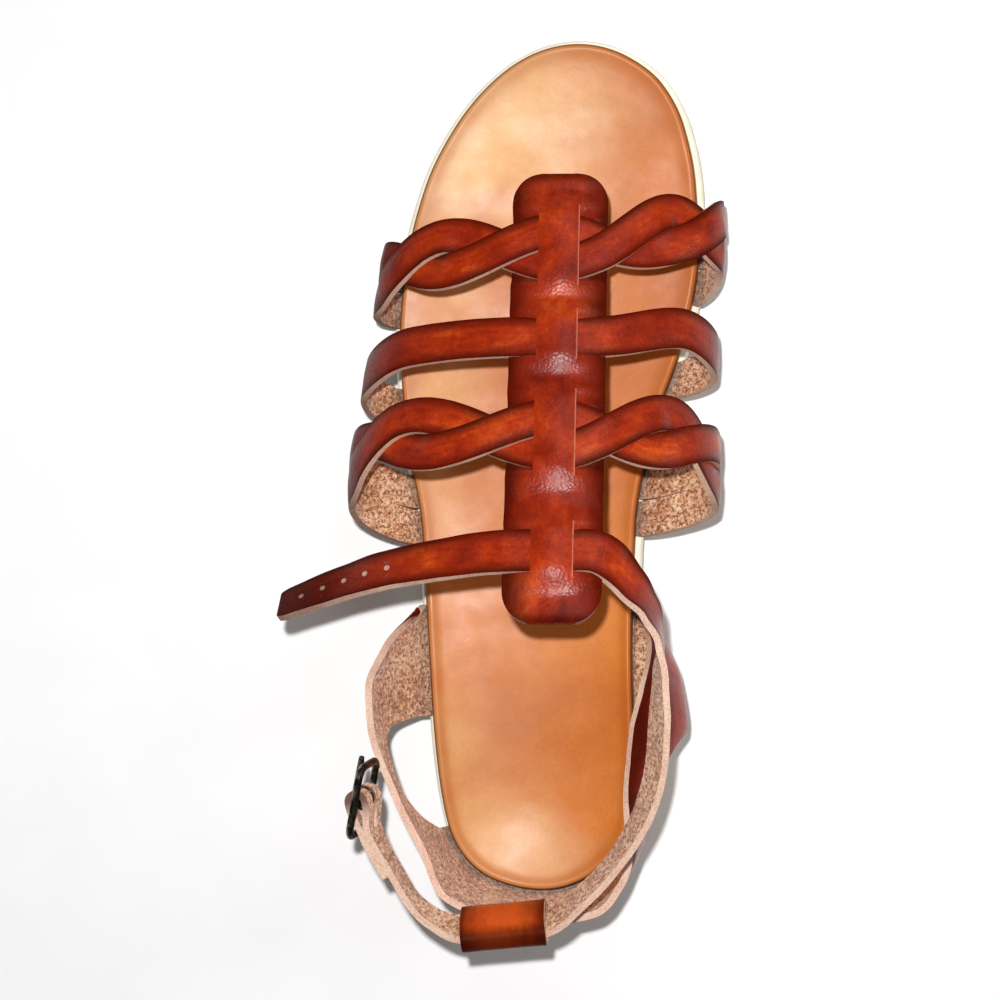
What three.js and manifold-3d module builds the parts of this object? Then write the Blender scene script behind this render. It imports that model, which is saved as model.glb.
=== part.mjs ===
// A flat gladiator sandal for the left foot, in millimetres, +Z up and +Y towards the toe.
// +X is the medial side. The origin is on the floor, under the middle of the heel's flat spot.
import * as THREE from 'three';
import { mergeVertices } from 'three/addons/utils/BufferGeometryUtils.js';
import Module from 'manifold-3d';

const wasm = await Module();
wasm.setup();

// Sole
const FOOTBED_LENGTH = 225;
const BALL_WIDTH = 80;
const WAIST_WIDTH = 56;
const HEEL_WIDTH = 53;
const HEEL_HEIGHT = 20;
const BALL_HEIGHT = 14.5;
const TOE_SPRING = 6;
const ARCH_LIFT = 1.2;
const HEEL_REST = 28;
const FOOTBED_THICKNESS = 4.5;
const FOOTBED_RIM = 1.5;
const FOOTBED_EDGE = 1;
const RIM_ROUND = 1.5;
const HEEL_CUP = 2;
const OUTSOLE_THICKNESS = 3;
const OUTSOLE_BEVEL = 0.9;
const MIDSOLE_FLARE = 2;
const MIDSOLE_BEVEL = 0.7;
const GROOVE_WIDTH = 2.4;
const GROOVE_DEPTH = 1;
const GROOVE_PITCH = 9;
const GROOVE_INSET = 6;

// Upper
const LEATHER = 1.8;
const INSTEP_HEIGHT = 84;
const SPINE_X = 8.3;
const SPINE_WIDTH = 24;
const SPINE_CROWN = 1.5;
const SPINE_CORNER = 7.5;
const SLIT_SPACING = 10;
const SLIT_MARGIN = 1.6;
const STRAP_WIDTH = 10.5;
const STRAND_WIDTH = 10;
const ANKLE_STRAP_WIDTH = 11;
const TUCK_DEPTH = 8;
const COUNTER_HEIGHT = 52;
const LOOP_LENGTH = 21.5;
const LOOP_WALL = 1.5;
const HOLE_DIAMETER = 1.6;
const HOLE_PITCH = 6.2;
const HOLE_COUNT = 5;
const FIRST_HOLE = 6.5;
const FOLD_LENGTH = 20;

// Buckle
const WIRE = 2;
const PRONG_WIRE = 1.8;
const FRAME_LENGTH = 20;
const FRAME_CORNER = 3;
const FRAME_TILT = 24;
const SLOT_LENGTH = 8;

// Clearance between neighbours, and the overlap of leather that is joined
const GAP = 0.3;
const BITE = 0.2;

const LEATHER_COLOR = 0x9c3a1e;
const FOOTBED_COLOR = 0xd9925c;
const FOAM_COLOR = 0xf7eed6;
const RUBBER_COLOR = 0xa59f8e;
const METAL_COLOR = 0x4a4032;

const HALF = LEATHER / 2;
const FOREFOOT_REST = 0.7 * FOOTBED_LENGTH;
const UP = new THREE.Vector3(0, 0, 1);
const OUTLINE_STEPS = 24;

// Footbed outline: shares of the length, and half widths as shares of the named width
const OUTLINE = [
  { along: 0, width: HEEL_WIDTH, lateral: -0.04, medial: 0.04 },
  { along: 0.028, width: HEEL_WIDTH, lateral: 0.311, medial: 0.338 },
  { along: 0.0755, width: HEEL_WIDTH, lateral: 0.432, medial: 0.474 },
  { along: 0.171, width: HEEL_WIDTH, lateral: 0.498, medial: 0.502 },
  { along: 0.289, width: WAIST_WIDTH, lateral: 0.505, medial: 0.466 },
  { along: 0.431, width: WAIST_WIDTH, lateral: 0.543, medial: 0.482 },
  { along: 0.538, width: BALL_WIDTH, lateral: 0.434, medial: 0.39 },
  { along: 0.656, width: BALL_WIDTH, lateral: 0.46, medial: 0.5 },
  { along: 0.751, width: BALL_WIDTH, lateral: 0.434, medial: 0.546 },
  { along: 0.834, width: BALL_WIDTH, lateral: 0.374, medial: 0.536 },
  { along: 0.905, width: BALL_WIDTH, lateral: 0.27, medial: 0.496 },
  { along: 0.953, width: BALL_WIDTH, lateral: 0.156, medial: 0.425 },
  { along: 0.985, width: BALL_WIDTH, lateral: 0.03, medial: 0.31 },
  { along: 1, width: BALL_WIDTH, lateral: -0.144, medial: 0.144 },
].map((row) => ({
  turn: turnAt(row.along),
  lateral: row.lateral * row.width,
  medial: row.medial * row.width,
}));

// Side profile of the sole: shares of the toe spring, of the arch lift and of the heel's rise
const PROFILE = [
  { along: -0.05, spring: 0, arch: 0, rise: 1 },
  { along: 0.2, spring: 0, arch: 0, rise: 1 },
  { along: 0.36, spring: 0, arch: 0, rise: 0.9 },
  { along: 0.46, spring: 0, arch: 1, rise: 0.58 },
  { along: 0.56, spring: 0, arch: 0, rise: 0.22 },
  { along: 0.68, spring: 0, arch: 0, rise: 0 },
  { along: 0.79, spring: 0, arch: 0, rise: 0 },
  { along: 0.9, spring: 0.38, arch: 0, rise: 0 },
  { along: 1.05, spring: 1.2, arch: 0, rise: 0 },
];

// The last over which the straps lie: widest points as shares of the ball's width, their level
// and the ridge as shares of the instep's height
const LAST = [
  { along: 0.33, lateral: 0.56, medial: 0.56, level: 0.48, ridge: 1 },
  { along: 0.406, lateral: 0.58, medial: 0.59, level: 0.46, ridge: 0.917 },
  { along: 0.489, lateral: 0.585, medial: 0.61, level: 0.43, ridge: 0.832 },
  { along: 0.534, lateral: 0.575, medial: 0.61, level: 0.4, ridge: 0.786 },
  { along: 0.6, lateral: 0.545, medial: 0.602, level: 0.36, ridge: 0.719 },
  { along: 0.66, lateral: 0.525, medial: 0.606, level: 0.335, ridge: 0.664 },
  { along: 0.72, lateral: 0.502, medial: 0.618, level: 0.32, ridge: 0.602 },
  { along: 0.77, lateral: 0.48, medial: 0.624, level: 0.31, ridge: 0.552 },
  { along: 0.834, lateral: 0.44, medial: 0.62, level: 0.3, ridge: 0.5 },
  { along: 0.9, lateral: 0.4, medial: 0.6, level: 0.3, ridge: 0.47 },
];

// Where each row of straps runs, as shares of the length, from its slit to the sole
const ROWS = [
  { slit: 0.748, lateral: [0.74, 0.716, 0.709], medial: [0.772, 0.766, 0.735], twisted: true },
  { slit: 0.644, lateral: [0.636, 0.597, 0.571], medial: [0.656, 0.625, 0.604], twisted: false },
  { slit: 0.534, lateral: [0.536, 0.49, 0.449], medial: [0.538, 0.492, 0.46], twisted: true },
];
const ANKLE_SLIT = 0.406;
const SPINE_ENDS = [0.329, 0.834];

// Turn round the last at which a twisted pair crosses, and how far its strands lie apart
const CROSSINGS = { lateral: [0.2, 0.67], medial: [0.23, 0.72] };
const SPREAD = [
  { turn: 0, share: 0.4 },
  { turn: 0.3, share: 0.44 },
  { turn: 1, share: 0.48 },
  { turn: 2, share: 0.54 },
  { turn: 3, share: 0.54 },
];

// Heel counter, from the lateral wing round the heel: its foot on the outline, then its middle
// and top edge as shares of the heel's width, the length and the counter's height
const COUNTER = [
  { foot: -0.3356, mid: [-0.577, 0.332, 0.37], top: [-0.592, 0.327, 0.42] },
  { foot: -0.293, mid: [-0.65, 0.3, 0.55], top: [-0.706, 0.29, 0.79] },
  { foot: -0.249, mid: [-0.689, 0.253, 0.63], top: [-0.766, 0.247, 0.96] },
  { foot: -0.203, mid: [-0.694, 0.207, 0.65], top: [-0.755, 0.207, 1] },
  { foot: -0.133, mid: [-0.632, 0.136, 0.65], top: [-0.645, 0.133, 1] },
  { foot: -0.0667, mid: [-0.49, 0.064, 0.65], top: [-0.506, 0.067, 1] },
  { foot: -0.0222, mid: [-0.33, 0.0125, 0.65], top: [-0.387, 0.011, 1.02] },
  { foot: 0, mid: [0.028, -0.0142, 0.65], top: [-0.02, -0.014, 1.06] },
  { foot: 0.0222, mid: [0.349, 0.008, 0.65], top: [0.33, -0.0044, 1.04] },
  { foot: 0.0667, mid: [0.538, 0.062, 0.65], top: [0.498, 0.058, 1] },
  { foot: 0.133, mid: [0.642, 0.133, 0.65], top: [0.479, 0.129, 1] },
  { foot: 0.203, mid: [0.755, 0.204, 0.63], top: [0.506, 0.202, 1] },
  { foot: 0.249, mid: [0.726, 0.251, 0.6], top: [0.553, 0.249, 0.98] },
  { foot: 0.293, mid: [0.642, 0.296, 0.5], top: [0.585, 0.291, 0.79] },
  { foot: 0.3356, mid: [0.532, 0.332, 0.37], top: [0.543, 0.327, 0.42] },
];

// The counter's side openings, seen from the side: shares of the length and the counter's height
const SIDE_OPENING = [
  { along: 0.203, up: 0.1 },
  { along: 0.203, up: 0.42 },
  { along: 0.194, up: 0.66 },
  { along: 0.18, up: 0.77 },
  { along: 0.15, up: 0.8 },
  { along: 0.12, up: 0.78 },
  { along: 0.092, up: 0.66 },
  { along: 0.074, up: 0.48 },
  { along: 0.067, up: 0.1 },
];

// Ankle strap from its free end to the buckle: shares of the ball's width and of the length, its
// height as shares of the instep's and the counter's height, and the strap's roll in degrees
const ANKLE = [
  { out: -0.767, along: 0.342, up: [0.738, 0], roll: -57 },
  { out: -0.572, along: 0.3675, up: [0.786, 0], roll: -48 },
  { out: -0.43, along: 0.3835, up: [0.833, 0], roll: -40 },
  { out: -0.28, along: 0.3945, up: [0.872, 0], roll: -33 },
  { out: -0.13, along: 0.403, up: [0.901, 0], roll: -26 },
  { out: -0.035, along: ANKLE_SLIT, up: [0.916, 0], roll: -22 },
  { out: 0.104, along: ANKLE_SLIT, up: [0.917, 0], roll: -22 },
  { out: 0.248, along: 0.404, up: [0.913, 0], roll: -25 },
  { out: 0.342, along: 0.372, up: [0.904, 0], roll: -48 },
  { out: 0.4, along: 0.344, up: [0.665, 0.359], roll: -68 },
  { out: 0.43, along: 0.312, up: [0.435, 0.701], roll: -86 },
  { out: 0.4325, along: 0.268, up: [0.213, 1.031], roll: -104 },
  { out: 0.4285, along: 0.22, up: [0, 1.346], roll: -112 },
  { out: 0.42, along: 0.174, up: [0, 1.309], roll: -113 },
  { out: 0.395, along: 0.134, up: [0, 1.276], roll: -112 },
  { out: 0.355, along: 0.1, up: [0, 1.244], roll: -109 },
  { out: 0.285, along: 0.06, up: [0, 1.216], roll: -105 },
  { out: 0.19, along: 0.022, up: [0, 1.186], roll: -106 },
  { out: 0.082, along: -0.008, up: [0, 1.157], roll: -113 },
  { out: -0.061, along: -0.0142, up: [0, 1.153], roll: -114 },
  { out: -0.2, along: -0.0187, up: [0, 1.153], roll: -111 },
  { out: -0.29, along: -0.0055, up: [0, 1.165], roll: -100 },
  { out: -0.362, along: 0.0185, up: [0, 1.166], roll: -95 },
  { out: -0.435, along: 0.058, up: [0, 1.179], roll: -95 },
  { out: -0.482, along: 0.092, up: [0, 1.189], roll: -98 },
  { out: -0.505, along: 0.128, up: [0, 1.195], roll: -101 },
];
const LOOP_ROW = 19;

// Angle round the outline of a station, so that its round ends stay round
function turnAt(along) {
  return Math.acos(1 - 2 * THREE.MathUtils.clamp(along, 0, 1));
}

// Smooth curve through a table's column that never overshoots its rows
function curve(rows, key, column, at) {
  const last = rows.length - 1;
  if (at <= rows[0][key]) return rows[0][column];
  if (at >= rows[last][key]) return rows[last][column];
  const slope = (i) => (rows[i + 1][column] - rows[i][column]) / (rows[i + 1][key] - rows[i][key]);
  const tangent = (i) => {
    if (i === 0) return slope(0);
    if (i === last) return slope(last - 1);
    const [before, after] = [slope(i - 1), slope(i)];
    return before * after <= 0 ? 0 : (2 * before * after) / (before + after);
  };
  const i = rows.findIndex((row) => row[key] > at) - 1;
  const step = rows[i + 1][key] - rows[i][key];
  const t = (at - rows[i][key]) / step;
  const [t2, t3] = [t * t, t * t * t];
  return (2 * t3 - 3 * t2 + 1) * rows[i][column] + (t3 - 2 * t2 + t) * step * tangent(i)
    + (3 * t2 - 2 * t3) * rows[i + 1][column] + (t3 - t2) * step * tangent(i + 1);
}

function vector(x, y, z) {
  return new THREE.Vector3(x, y, z);
}

// Point on the footbed's outline: the turn is negative on the lateral side, 0 at the heel
function outlinePoint(turn) {
  const x = curve(OUTLINE, 'turn', turn < 0 ? 'lateral' : 'medial', Math.abs(turn));
  const y = FOOTBED_LENGTH * (1 - Math.cos(turn)) / 2;
  return vector(turn < 0 ? -x : x, y, 0);
}

function outlineNormal(turn) {
  const step = 0.02;
  const run = outlinePoint(turn + step).sub(outlinePoint(turn - step)).normalize();
  return vector(run.y, -run.x, 0);
}

// Levels of the sole at a station
function floorLift(y) {
  const along = y / FOOTBED_LENGTH;
  return TOE_SPRING * curve(PROFILE, 'along', 'spring', along)
    + ARCH_LIFT * curve(PROFILE, 'along', 'arch', along);
}

function footbedTop(y) {
  const along = y / FOOTBED_LENGTH;
  return BALL_HEIGHT + (HEEL_HEIGHT - BALL_HEIGHT) * curve(PROFILE, 'along', 'rise', along)
    + TOE_SPRING * curve(PROFILE, 'along', 'spring', along);
}

const footbedBottom = (y) => footbedTop(y) - FOOTBED_THICKNESS;
const midsoleBottom = (y) => floorLift(y) + OUTSOLE_THICKNESS + GAP;

// Sole layers: closed loops round the outline that shrink to its long axis
function loopPoint(index, level) {
  const turn = Math.PI * (index / OUTLINE_STEPS - 1);
  const edge = outlinePoint(turn);
  edge.addScaledVector(outlineNormal(turn), level.out ?? 0);
  const share = level.share ?? 0;
  const ends = [0.12 * FOOTBED_LENGTH, 0.82 * FOOTBED_LENGTH];
  const y = THREE.MathUtils.clamp(edge.y, ...ends);
  const across = turnAt(y / FOOTBED_LENGTH);
  const axis = vector((outlinePoint(-across).x + outlinePoint(across).x) / 2, y, 0);
  const point = edge.lerp(axis, share);
  point.z = level.height(point.y, share);
  return point;
}

function layer(levels) {
  const count = 2 * OUTLINE_STEPS;
  const loops = levels.map((level) => Array.from({ length: count }, (_, i) => loopPoint(i, level)));
  return solid(loops, false);
}

// Closed solid through rings of points, its two end rings capped by a strip across them
function solid(rings, capped = true) {
  const count = rings[0].length;
  const index = [];
  for (let k = 0; k + 1 < rings.length; k += 1) {
    for (let j = 0; j < count; j += 1) {
      const [a, b] = [k * count + j, k * count + ((j + 1) % count)];
      index.push(a, b, b + count, a, b + count, a + count);
    }
  }
  if (capped) {
    const end = (rings.length - 1) * count;
    for (let j = 0; j + 1 < count / 2; j += 1) {
      const [a, b, c, d] = [j, j + 1, count - 2 - j, count - 1 - j];
      index.push(a, c, b, a, d, c, end + a, end + b, end + c, end + a, end + c, end + d);
    }
  }
  const geometry = new THREE.BufferGeometry();
  const places = rings.flat().flatMap((point) => point.toArray());
  geometry.setAttribute('position', new THREE.Float32BufferAttribute(places, 3));
  geometry.setIndex(index);
  return toManifold(geometry);
}

function toManifold(geometry) {
  geometry.deleteAttribute('normal');
  geometry.deleteAttribute('uv');
  const merged = mergeVertices(geometry, 1e-4);
  const corners = merged.index.array;
  const points = merged.attributes.position.array;
  const kept = [];
  let volume = 0;
  for (let i = 0; i < corners.length; i += 3) {
    const [a, b, c] = corners.slice(i, i + 3);
    if (a === b || b === c || c === a) continue;
    kept.push(a, b, c);
    const [p, q, r] = [a, b, c].map((n) => new THREE.Vector3().fromArray(points, 3 * n));
    volume += p.dot(q.cross(r));
  }
  if (volume < 0) kept.reverse();
  const mesh = new wasm.Mesh({
    numProp: 3,
    vertProperties: new Float32Array(points),
    triVerts: new Uint32Array(kept),
  });
  return new wasm.Manifold(mesh);
}

function toMesh(name, shape, color, roughness, metalness = 0) {
  const { vertProperties, triVerts } = shape.getMesh();
  const geometry = new THREE.BufferGeometry();
  geometry.setAttribute('position', new THREE.BufferAttribute(vertProperties, 3));
  geometry.setIndex(new THREE.BufferAttribute(triVerts, 1));
  geometry.computeVertexNormals();
  const material = new THREE.MeshStandardMaterial({ color, roughness, metalness });
  const mesh = new THREE.Mesh(geometry, material);
  mesh.name = name;
  return mesh;
}

function join(shapes) {
  return shapes.reduce((all, shape) => all.add(shape));
}

function placed(geometry, matrix) {
  return toManifold(geometry.applyMatrix4(matrix));
}

// Sole pieces
function makeOutsole() {
  const bottom = (y) => floorLift(y);
  const top = (y) => floorLift(y) + OUTSOLE_THICKNESS;
  const edge = MIDSOLE_FLARE * 0.6;
  const slab = layer([
    { share: 1, height: bottom },
    { out: edge - OUTSOLE_BEVEL, height: bottom },
    { out: edge, height: (y) => bottom(y) + OUTSOLE_BEVEL },
    { out: edge, height: top },
    { share: 1, height: top },
  ]);
  return grooves().reduce((rest, groove) => rest.subtract(groove), slab);
}

// Cross grooves of the tread, left out round the two flat resting spots
function grooves() {
  const list = [];
  const inset = GROOVE_INSET;
  for (let y = GROOVE_PITCH; y < 0.96 * FOOTBED_LENGTH; y += GROOVE_PITCH) {
    const turn = turnAt(y / FOOTBED_LENGTH);
    const left = outlinePoint(-turn).x + inset;
    const right = outlinePoint(turn).x - inset;
    const resting = [HEEL_REST, FOREFOOT_REST].some((rest) => Math.abs(y - rest) < GROOVE_PITCH);
    if (resting || right - left < 2 * inset) continue;
    const depth = 2 * GROOVE_DEPTH;
    const box = new THREE.BoxGeometry(right - left, GROOVE_WIDTH, depth);
    const lift = new THREE.Matrix4().makeTranslation((left + right) / 2, y, floorLift(y));
    list.push(placed(box, lift));
  }
  return list;
}

function makeMidsole() {
  const bottom = midsoleBottom;
  const top = (y) => footbedBottom(y) - GAP;
  const middle = (y) => (bottom(y) + top(y)) / 2;
  return layer([
    { share: 1, height: bottom },
    { out: MIDSOLE_FLARE * 0.6, height: bottom },
    { out: MIDSOLE_FLARE, height: middle },
    { out: MIDSOLE_FLARE * 0.8, height: (y) => top(y) - MIDSOLE_BEVEL },
    { out: MIDSOLE_FLARE * 0.4, height: top },
    { share: 1, height: top },
  ]);
}

// The footbed's rim stands above its middle, most of all round the heel
function rimHeight(y) {
  const along = y / FOOTBED_LENGTH;
  return FOOTBED_RIM + HEEL_CUP * THREE.MathUtils.smoothstep(0.5 - along, 0, 0.4);
}

function makeFootbed() {
  const bowl = (y, share) => footbedTop(y) + rimHeight(y) * (1 - share) ** 2;
  const round = RIM_ROUND;
  return layer([
    { share: 1, height: footbedBottom },
    { out: -1.2 * FOOTBED_EDGE, height: footbedBottom },
    { out: 0, height: (y) => footbedBottom(y) + FOOTBED_EDGE },
    { out: 0, height: (y) => bowl(y, 0) - round },
    { out: -0.4 * round, height: (y) => bowl(y, 0) - 0.27 * round },
    { out: -1.47 * round, height: (y) => bowl(y, 0) },
    { share: 0.3, height: bowl },
    { share: 1, height: bowl },
  ]);
}

// A cubic through two ends and their handles
function bezier(points, t) {
  const u = 1 - t;
  const weights = [u * u * u, 3 * u * u * t, 3 * u * t * t, t * t * t];
  return points.reduce((sum, point, i) => sum.addScaledVector(point, weights[i]), vector(0, 0, 0));
}

// Leather that is tucked under the footbed: down past its side, round its corner, then inward
const TUCK_RADIUS = FOOTBED_EDGE + GAP + HALF;
const footHeight = (y) => footbedBottom(y) + FOOTBED_EDGE;

function tuckPoint(turn, share) {
  const point = outlinePoint(turn);
  const inward = outlineNormal(turn).negate();
  const bend = Math.min(share * 2, 1) * Math.PI / 2;
  const run = Math.max(share * 2 - 1, 0) * TUCK_DEPTH;
  const out = GAP + HALF - TUCK_RADIUS * (1 - Math.cos(bend)) - run;
  point.addScaledVector(inward, -out);
  point.z = footHeight(outlinePoint(turn).y) - TUCK_RADIUS * Math.sin(bend);
  return point;
}

// Surface of the last: around is 0 on the ridge, 1 at the widest point, 2 at the sole's joint
// and 3 at the end that is tucked in, and it is negative on the lateral side
function lastPoint(y, around) {
  const side = around < 0 ? -1 : 1;
  const turn = Math.abs(around);
  const along = y / FOOTBED_LENGTH;
  const edgeTurn = side * turnAt(along);
  if (turn > 2) return tuckPoint(edgeTurn, turn - 2);
  const reach = curve(LAST, 'along', side < 0 ? 'lateral' : 'medial', along) * BALL_WIDTH;
  const level = curve(LAST, 'along', 'level', along) * INSTEP_HEIGHT;
  const widest = vector(side * reach, y, level);
  const ridge = vector(SPINE_X, y, ridgeHeight(y));
  if (turn <= 1) {
    const flat = vector(0.5 * (widest.x - ridge.x), 0, 0).add(ridge);
    const steep = vector(0, 0, 0.6 * (ridge.z - widest.z)).add(widest);
    return bezier([ridge, flat, steep, widest], turn);
  }
  const foot = tuckPoint(edgeTurn, 0);
  const drop = level - foot.z;
  const lower = vector(0, 0, -0.45 * drop).add(widest);
  const rise = vector(side * 0.12 * drop, 0, 0.4 * drop).add(foot);
  return bezier([widest, lower, rise, foot], turn - 1);
}

function ridgeHeight(y) {
  return curve(LAST, 'along', 'ridge', y / FOOTBED_LENGTH) * INSTEP_HEIGHT;
}

// Strap on the last: its edges follow the surface, raised by a lift
function strapRing(route, around, width, thickness) {
  const step = 0.01;
  const centre = route(around);
  const at = (dy, da) => lastPoint(centre.y + dy, around + da);
  const along = at(step, 0).sub(at(-step, 0)).divideScalar(2 * step);
  const across = at(0, step).sub(at(0, -step)).divideScalar(2 * step);
  const normal = new THREE.Vector3().crossVectors(across, along).normalize();
  const ahead = route(around + step);
  const behind = route(around - step);
  const run = lastPoint(ahead.y, around + step).sub(lastPoint(behind.y, around - step)).normalize();
  const side = new THREE.Vector3().crossVectors(normal, run).normalize();
  const solve = along.lengthSq() * across.lengthSq() - along.dot(across) ** 2;
  const dy = (side.dot(along) * across.lengthSq() - side.dot(across) * along.dot(across)) / solve;
  const da = (side.dot(across) * along.lengthSq() - side.dot(along) * along.dot(across)) / solve;
  const edge = (reach) => {
    const point = lastPoint(centre.y + reach * dy, around + reach * da);
    return point.addScaledVector(normal, centre.lift);
  };
  return [edge(-width / 2), edge(width / 2)].flatMap((point, i) => {
    const inner = point.clone().addScaledVector(normal, -thickness / 2);
    const outer = point.clone().addScaledVector(normal, thickness / 2);
    return i === 0 ? [outer, inner] : [inner, outer];
  });
}

function stations(from, to, count) {
  return Array.from({ length: count + 1 }, (_, i) => from + (to - from) * i / count);
}

// Station of a strap's middle line round the last
function rowLine(row, around) {
  const [mid, widest, foot] = around < 0 ? row.lateral : row.medial;
  const line = [
    { turn: 0, share: row.slit },
    { turn: 0.15, share: row.slit },
    { turn: 0.55, share: mid },
    { turn: 1, share: widest },
    { turn: 2, share: foot },
    { turn: 3, share: foot },
  ];
  return FOOTBED_LENGTH * curve(line, 'turn', 'share', Math.abs(around));
}

// A strand of a twisted pair swings from side to side and goes over and under the other one
function strandRoute(row, strand) {
  return (around) => {
    const [first, second] = around < 0 ? CROSSINGS.lateral : CROSSINGS.medial;
    const over = around < 0 ? 1 : -1;
    const share = (Math.abs(around) - first) / (second - first);
    const phase = Math.PI * THREE.MathUtils.clamp(share, -0.5, 1.5);
    const swing = curve(SPREAD, 'turn', 'share', Math.abs(around)) * STRAND_WIDTH;
    return {
      y: rowLine(row, around) - strand * swing * Math.sin(phase),
      lift: strand * over * (HALF - BITE) * Math.cos(phase),
    };
  };
}

function plainRoute(row) {
  return (around) => ({ y: rowLine(row, around), lift: 0 });
}

function rowStraps(row, from, to, steps, extra = 0) {
  const routes = row.twisted ? [strandRoute(row, 1), strandRoute(row, -1)] : [plainRoute(row)];
  const width = (row.twisted ? STRAND_WIDTH : STRAP_WIDTH) + extra;
  return routes.map((route) => solid(
    stations(from, to, steps).map((around) => strapRing(route, around, width, LEATHER + extra)),
  ));
}

function crossStraps() {
  return ROWS.flatMap((row) => {
    const sides = row.twisted ? [8, 12] : [6, 6];
    return [-1, 1].flatMap((side) => [
      ...rowStraps(row, -0.1 * side, side, sides[1]),
      ...rowStraps(row, 0.97 * side, 3 * side, sides[0]),
    ]);
  });
}

// The centre strap: its middle band rises over what runs through the slits, its margins sink
function slitRise(y) {
  return SLITS.reduce((rise, slit) => {
    const ends = slit.length / 2;
    const gone = Math.abs(y - slit.y);
    return Math.max(rise, slit.rise * (1 - THREE.MathUtils.smoothstep(gone, ends - SLIT_MARGIN, ends)));
  }, 0);
}

const SLITS = [
  ...ROWS.map((row) => {
    const pair = 2 * SPREAD[0].share * STRAND_WIDTH + STRAND_WIDTH;
    const width = row.twisted ? pair : STRAP_WIDTH;
    return { y: row.slit * FOOTBED_LENGTH, length: width + 2 * SLIT_MARGIN, rise: LEATHER - BITE };
  }),
  {
    y: ANKLE_SLIT * FOOTBED_LENGTH,
    length: ANKLE_STRAP_WIDTH + 2 * SLIT_MARGIN + 2 * GAP,
    rise: LEATHER + 2 * GAP,
  },
];

function spineStations() {
  const [rear, front] = SPINE_ENDS.map((share) => share * FOOTBED_LENGTH);
  const marks = stations(rear, front, 8);
  for (const slit of SLITS) {
    const end = slit.length / 2;
    const inner = end - SLIT_MARGIN;
    marks.push(...[-end, -inner, inner, end].map((reach) => slit.y + reach));
  }
  for (const bend of [0, 0.08, 0.3, 0.6]) {
    marks.push(rear + bend * SPINE_CORNER, front - bend * SPINE_CORNER);
  }
  const sorted = marks.sort((a, b) => a - b);
  return sorted.filter((y, i) => i === 0 || y - sorted[i - 1] > 0.3);
}

// Half width of the centre strap, less at its rounded corners
function spineHalf(y) {
  const [rear, front] = SPINE_ENDS.map((share) => share * FOOTBED_LENGTH);
  const past = Math.max(SPINE_CORNER - Math.min(y - rear, front - y), 0);
  return SPINE_WIDTH / 2 - SPINE_CORNER + Math.sqrt(SPINE_CORNER ** 2 - past ** 2);
}

function spineRing(y, from, to, rise) {
  const slope = (ridgeHeight(y + 1) - ridgeHeight(y - 1)) / 2;
  const normal = vector(0, -slope, 1).normalize();
  const corner = (reach, height) => {
    const drop = SPINE_CROWN * (2 * reach / SPINE_WIDTH) ** 2;
    return vector(SPINE_X + reach, y, ridgeHeight(y) - drop).addScaledVector(normal, rise + height);
  };
  return [corner(from, HALF), corner(from, -HALF), corner(to, -HALF), corner(to, HALF)];
}

function makeSpine() {
  const marks = spineStations();
  const seam = SLIT_SPACING / 2;
  const lap = BITE / 4;
  const middle = solid(marks.map((y) => spineRing(y, -seam, seam, slitRise(y))));
  const margins = [-1, 1].map((side) => solid(marks.map((y) => {
    const edges = [side * (seam - lap), side * spineHalf(y)].sort((a, b) => a - b);
    return spineRing(y, ...edges, -slitRise(y));
  })));
  return join([middle, ...margins]);
}

function makeUpper() {
  return join([makeSpine(), ...crossStraps()]);
}

// Heel counter
function counterPoint(turn, height) {
  const rows = COUNTER.map(({ foot, mid, top }) => ({
    turn: Math.sign(foot) * turnAt(Math.abs(foot)),
    midX: mid[0] * HEEL_WIDTH,
    midY: mid[1] * FOOTBED_LENGTH,
    midZ: mid[2] * COUNTER_HEIGHT,
    topX: top[0] * HEEL_WIDTH,
    topY: top[1] * FOOTBED_LENGTH,
    topZ: top[2] * COUNTER_HEIGHT,
  }));
  if (height < 0) return tuckPoint(turn, -height);
  const at = (column) => curve(rows, 'turn', column, turn);
  const foot = tuckPoint(turn, 0);
  const mid = vector(at('midX'), at('midY'), at('midZ'));
  const top = vector(at('topX'), at('topY'), at('topZ'));
  const weights = [(1 - height) * (1 - 2 * height), 4 * height * (1 - height), height * (2 * height - 1)];
  return [foot, mid, top].reduce((sum, p, i) => sum.addScaledVector(p, weights[i]), vector(0, 0, 0));
}

function counterNormal(turn, height) {
  const step = 0.01;
  const at = THREE.MathUtils.clamp(turn, step - COUNTER_TURN, COUNTER_TURN - step);
  const round = counterPoint(at + step, height).sub(counterPoint(at - step, height));
  const side = height > 1 - step ? -step : step;
  const up = counterPoint(at, height + side).sub(counterPoint(at, height)).multiplyScalar(Math.sign(side));
  return round.cross(up).normalize();
}

function counterWall(fromTurn, toTurn, steps, heights, thickness) {
  const rings = stations(fromTurn, toTurn, steps).map((turn) => {
    const skin = (side) => heights.map((height) => {
      const point = counterPoint(turn, height);
      return point.addScaledVector(counterNormal(turn, height), side * thickness / 2);
    });
    return [...skin(1), ...skin(-1).reverse()];
  });
  return solid(rings);
}

function sideOpening() {
  const points = SIDE_OPENING.map(({ along, up }) => (
    new THREE.Vector2(along * FOOTBED_LENGTH, up * COUNTER_HEIGHT)
  ));
  const outline = new THREE.SplineCurve(points.slice(1, -1)).getPoints(14);
  const shape = new THREE.Shape([points[0], ...outline, points[points.length - 1]]);
  const block = new THREE.ExtrudeGeometry(shape, { depth: 3 * HEEL_WIDTH, bevelEnabled: false });
  const stand = new THREE.Matrix4().makeBasis(vector(0, 1, 0), vector(0, 0, 1), vector(1, 0, 0));
  stand.setPosition(-1.5 * HEEL_WIDTH, 0, 0);
  return placed(block, stand);
}

const COUNTER_TURN = turnAt(COUNTER[COUNTER.length - 1].foot);
const TUCKED = [-1, -0.5, -0.25, 0];

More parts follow.
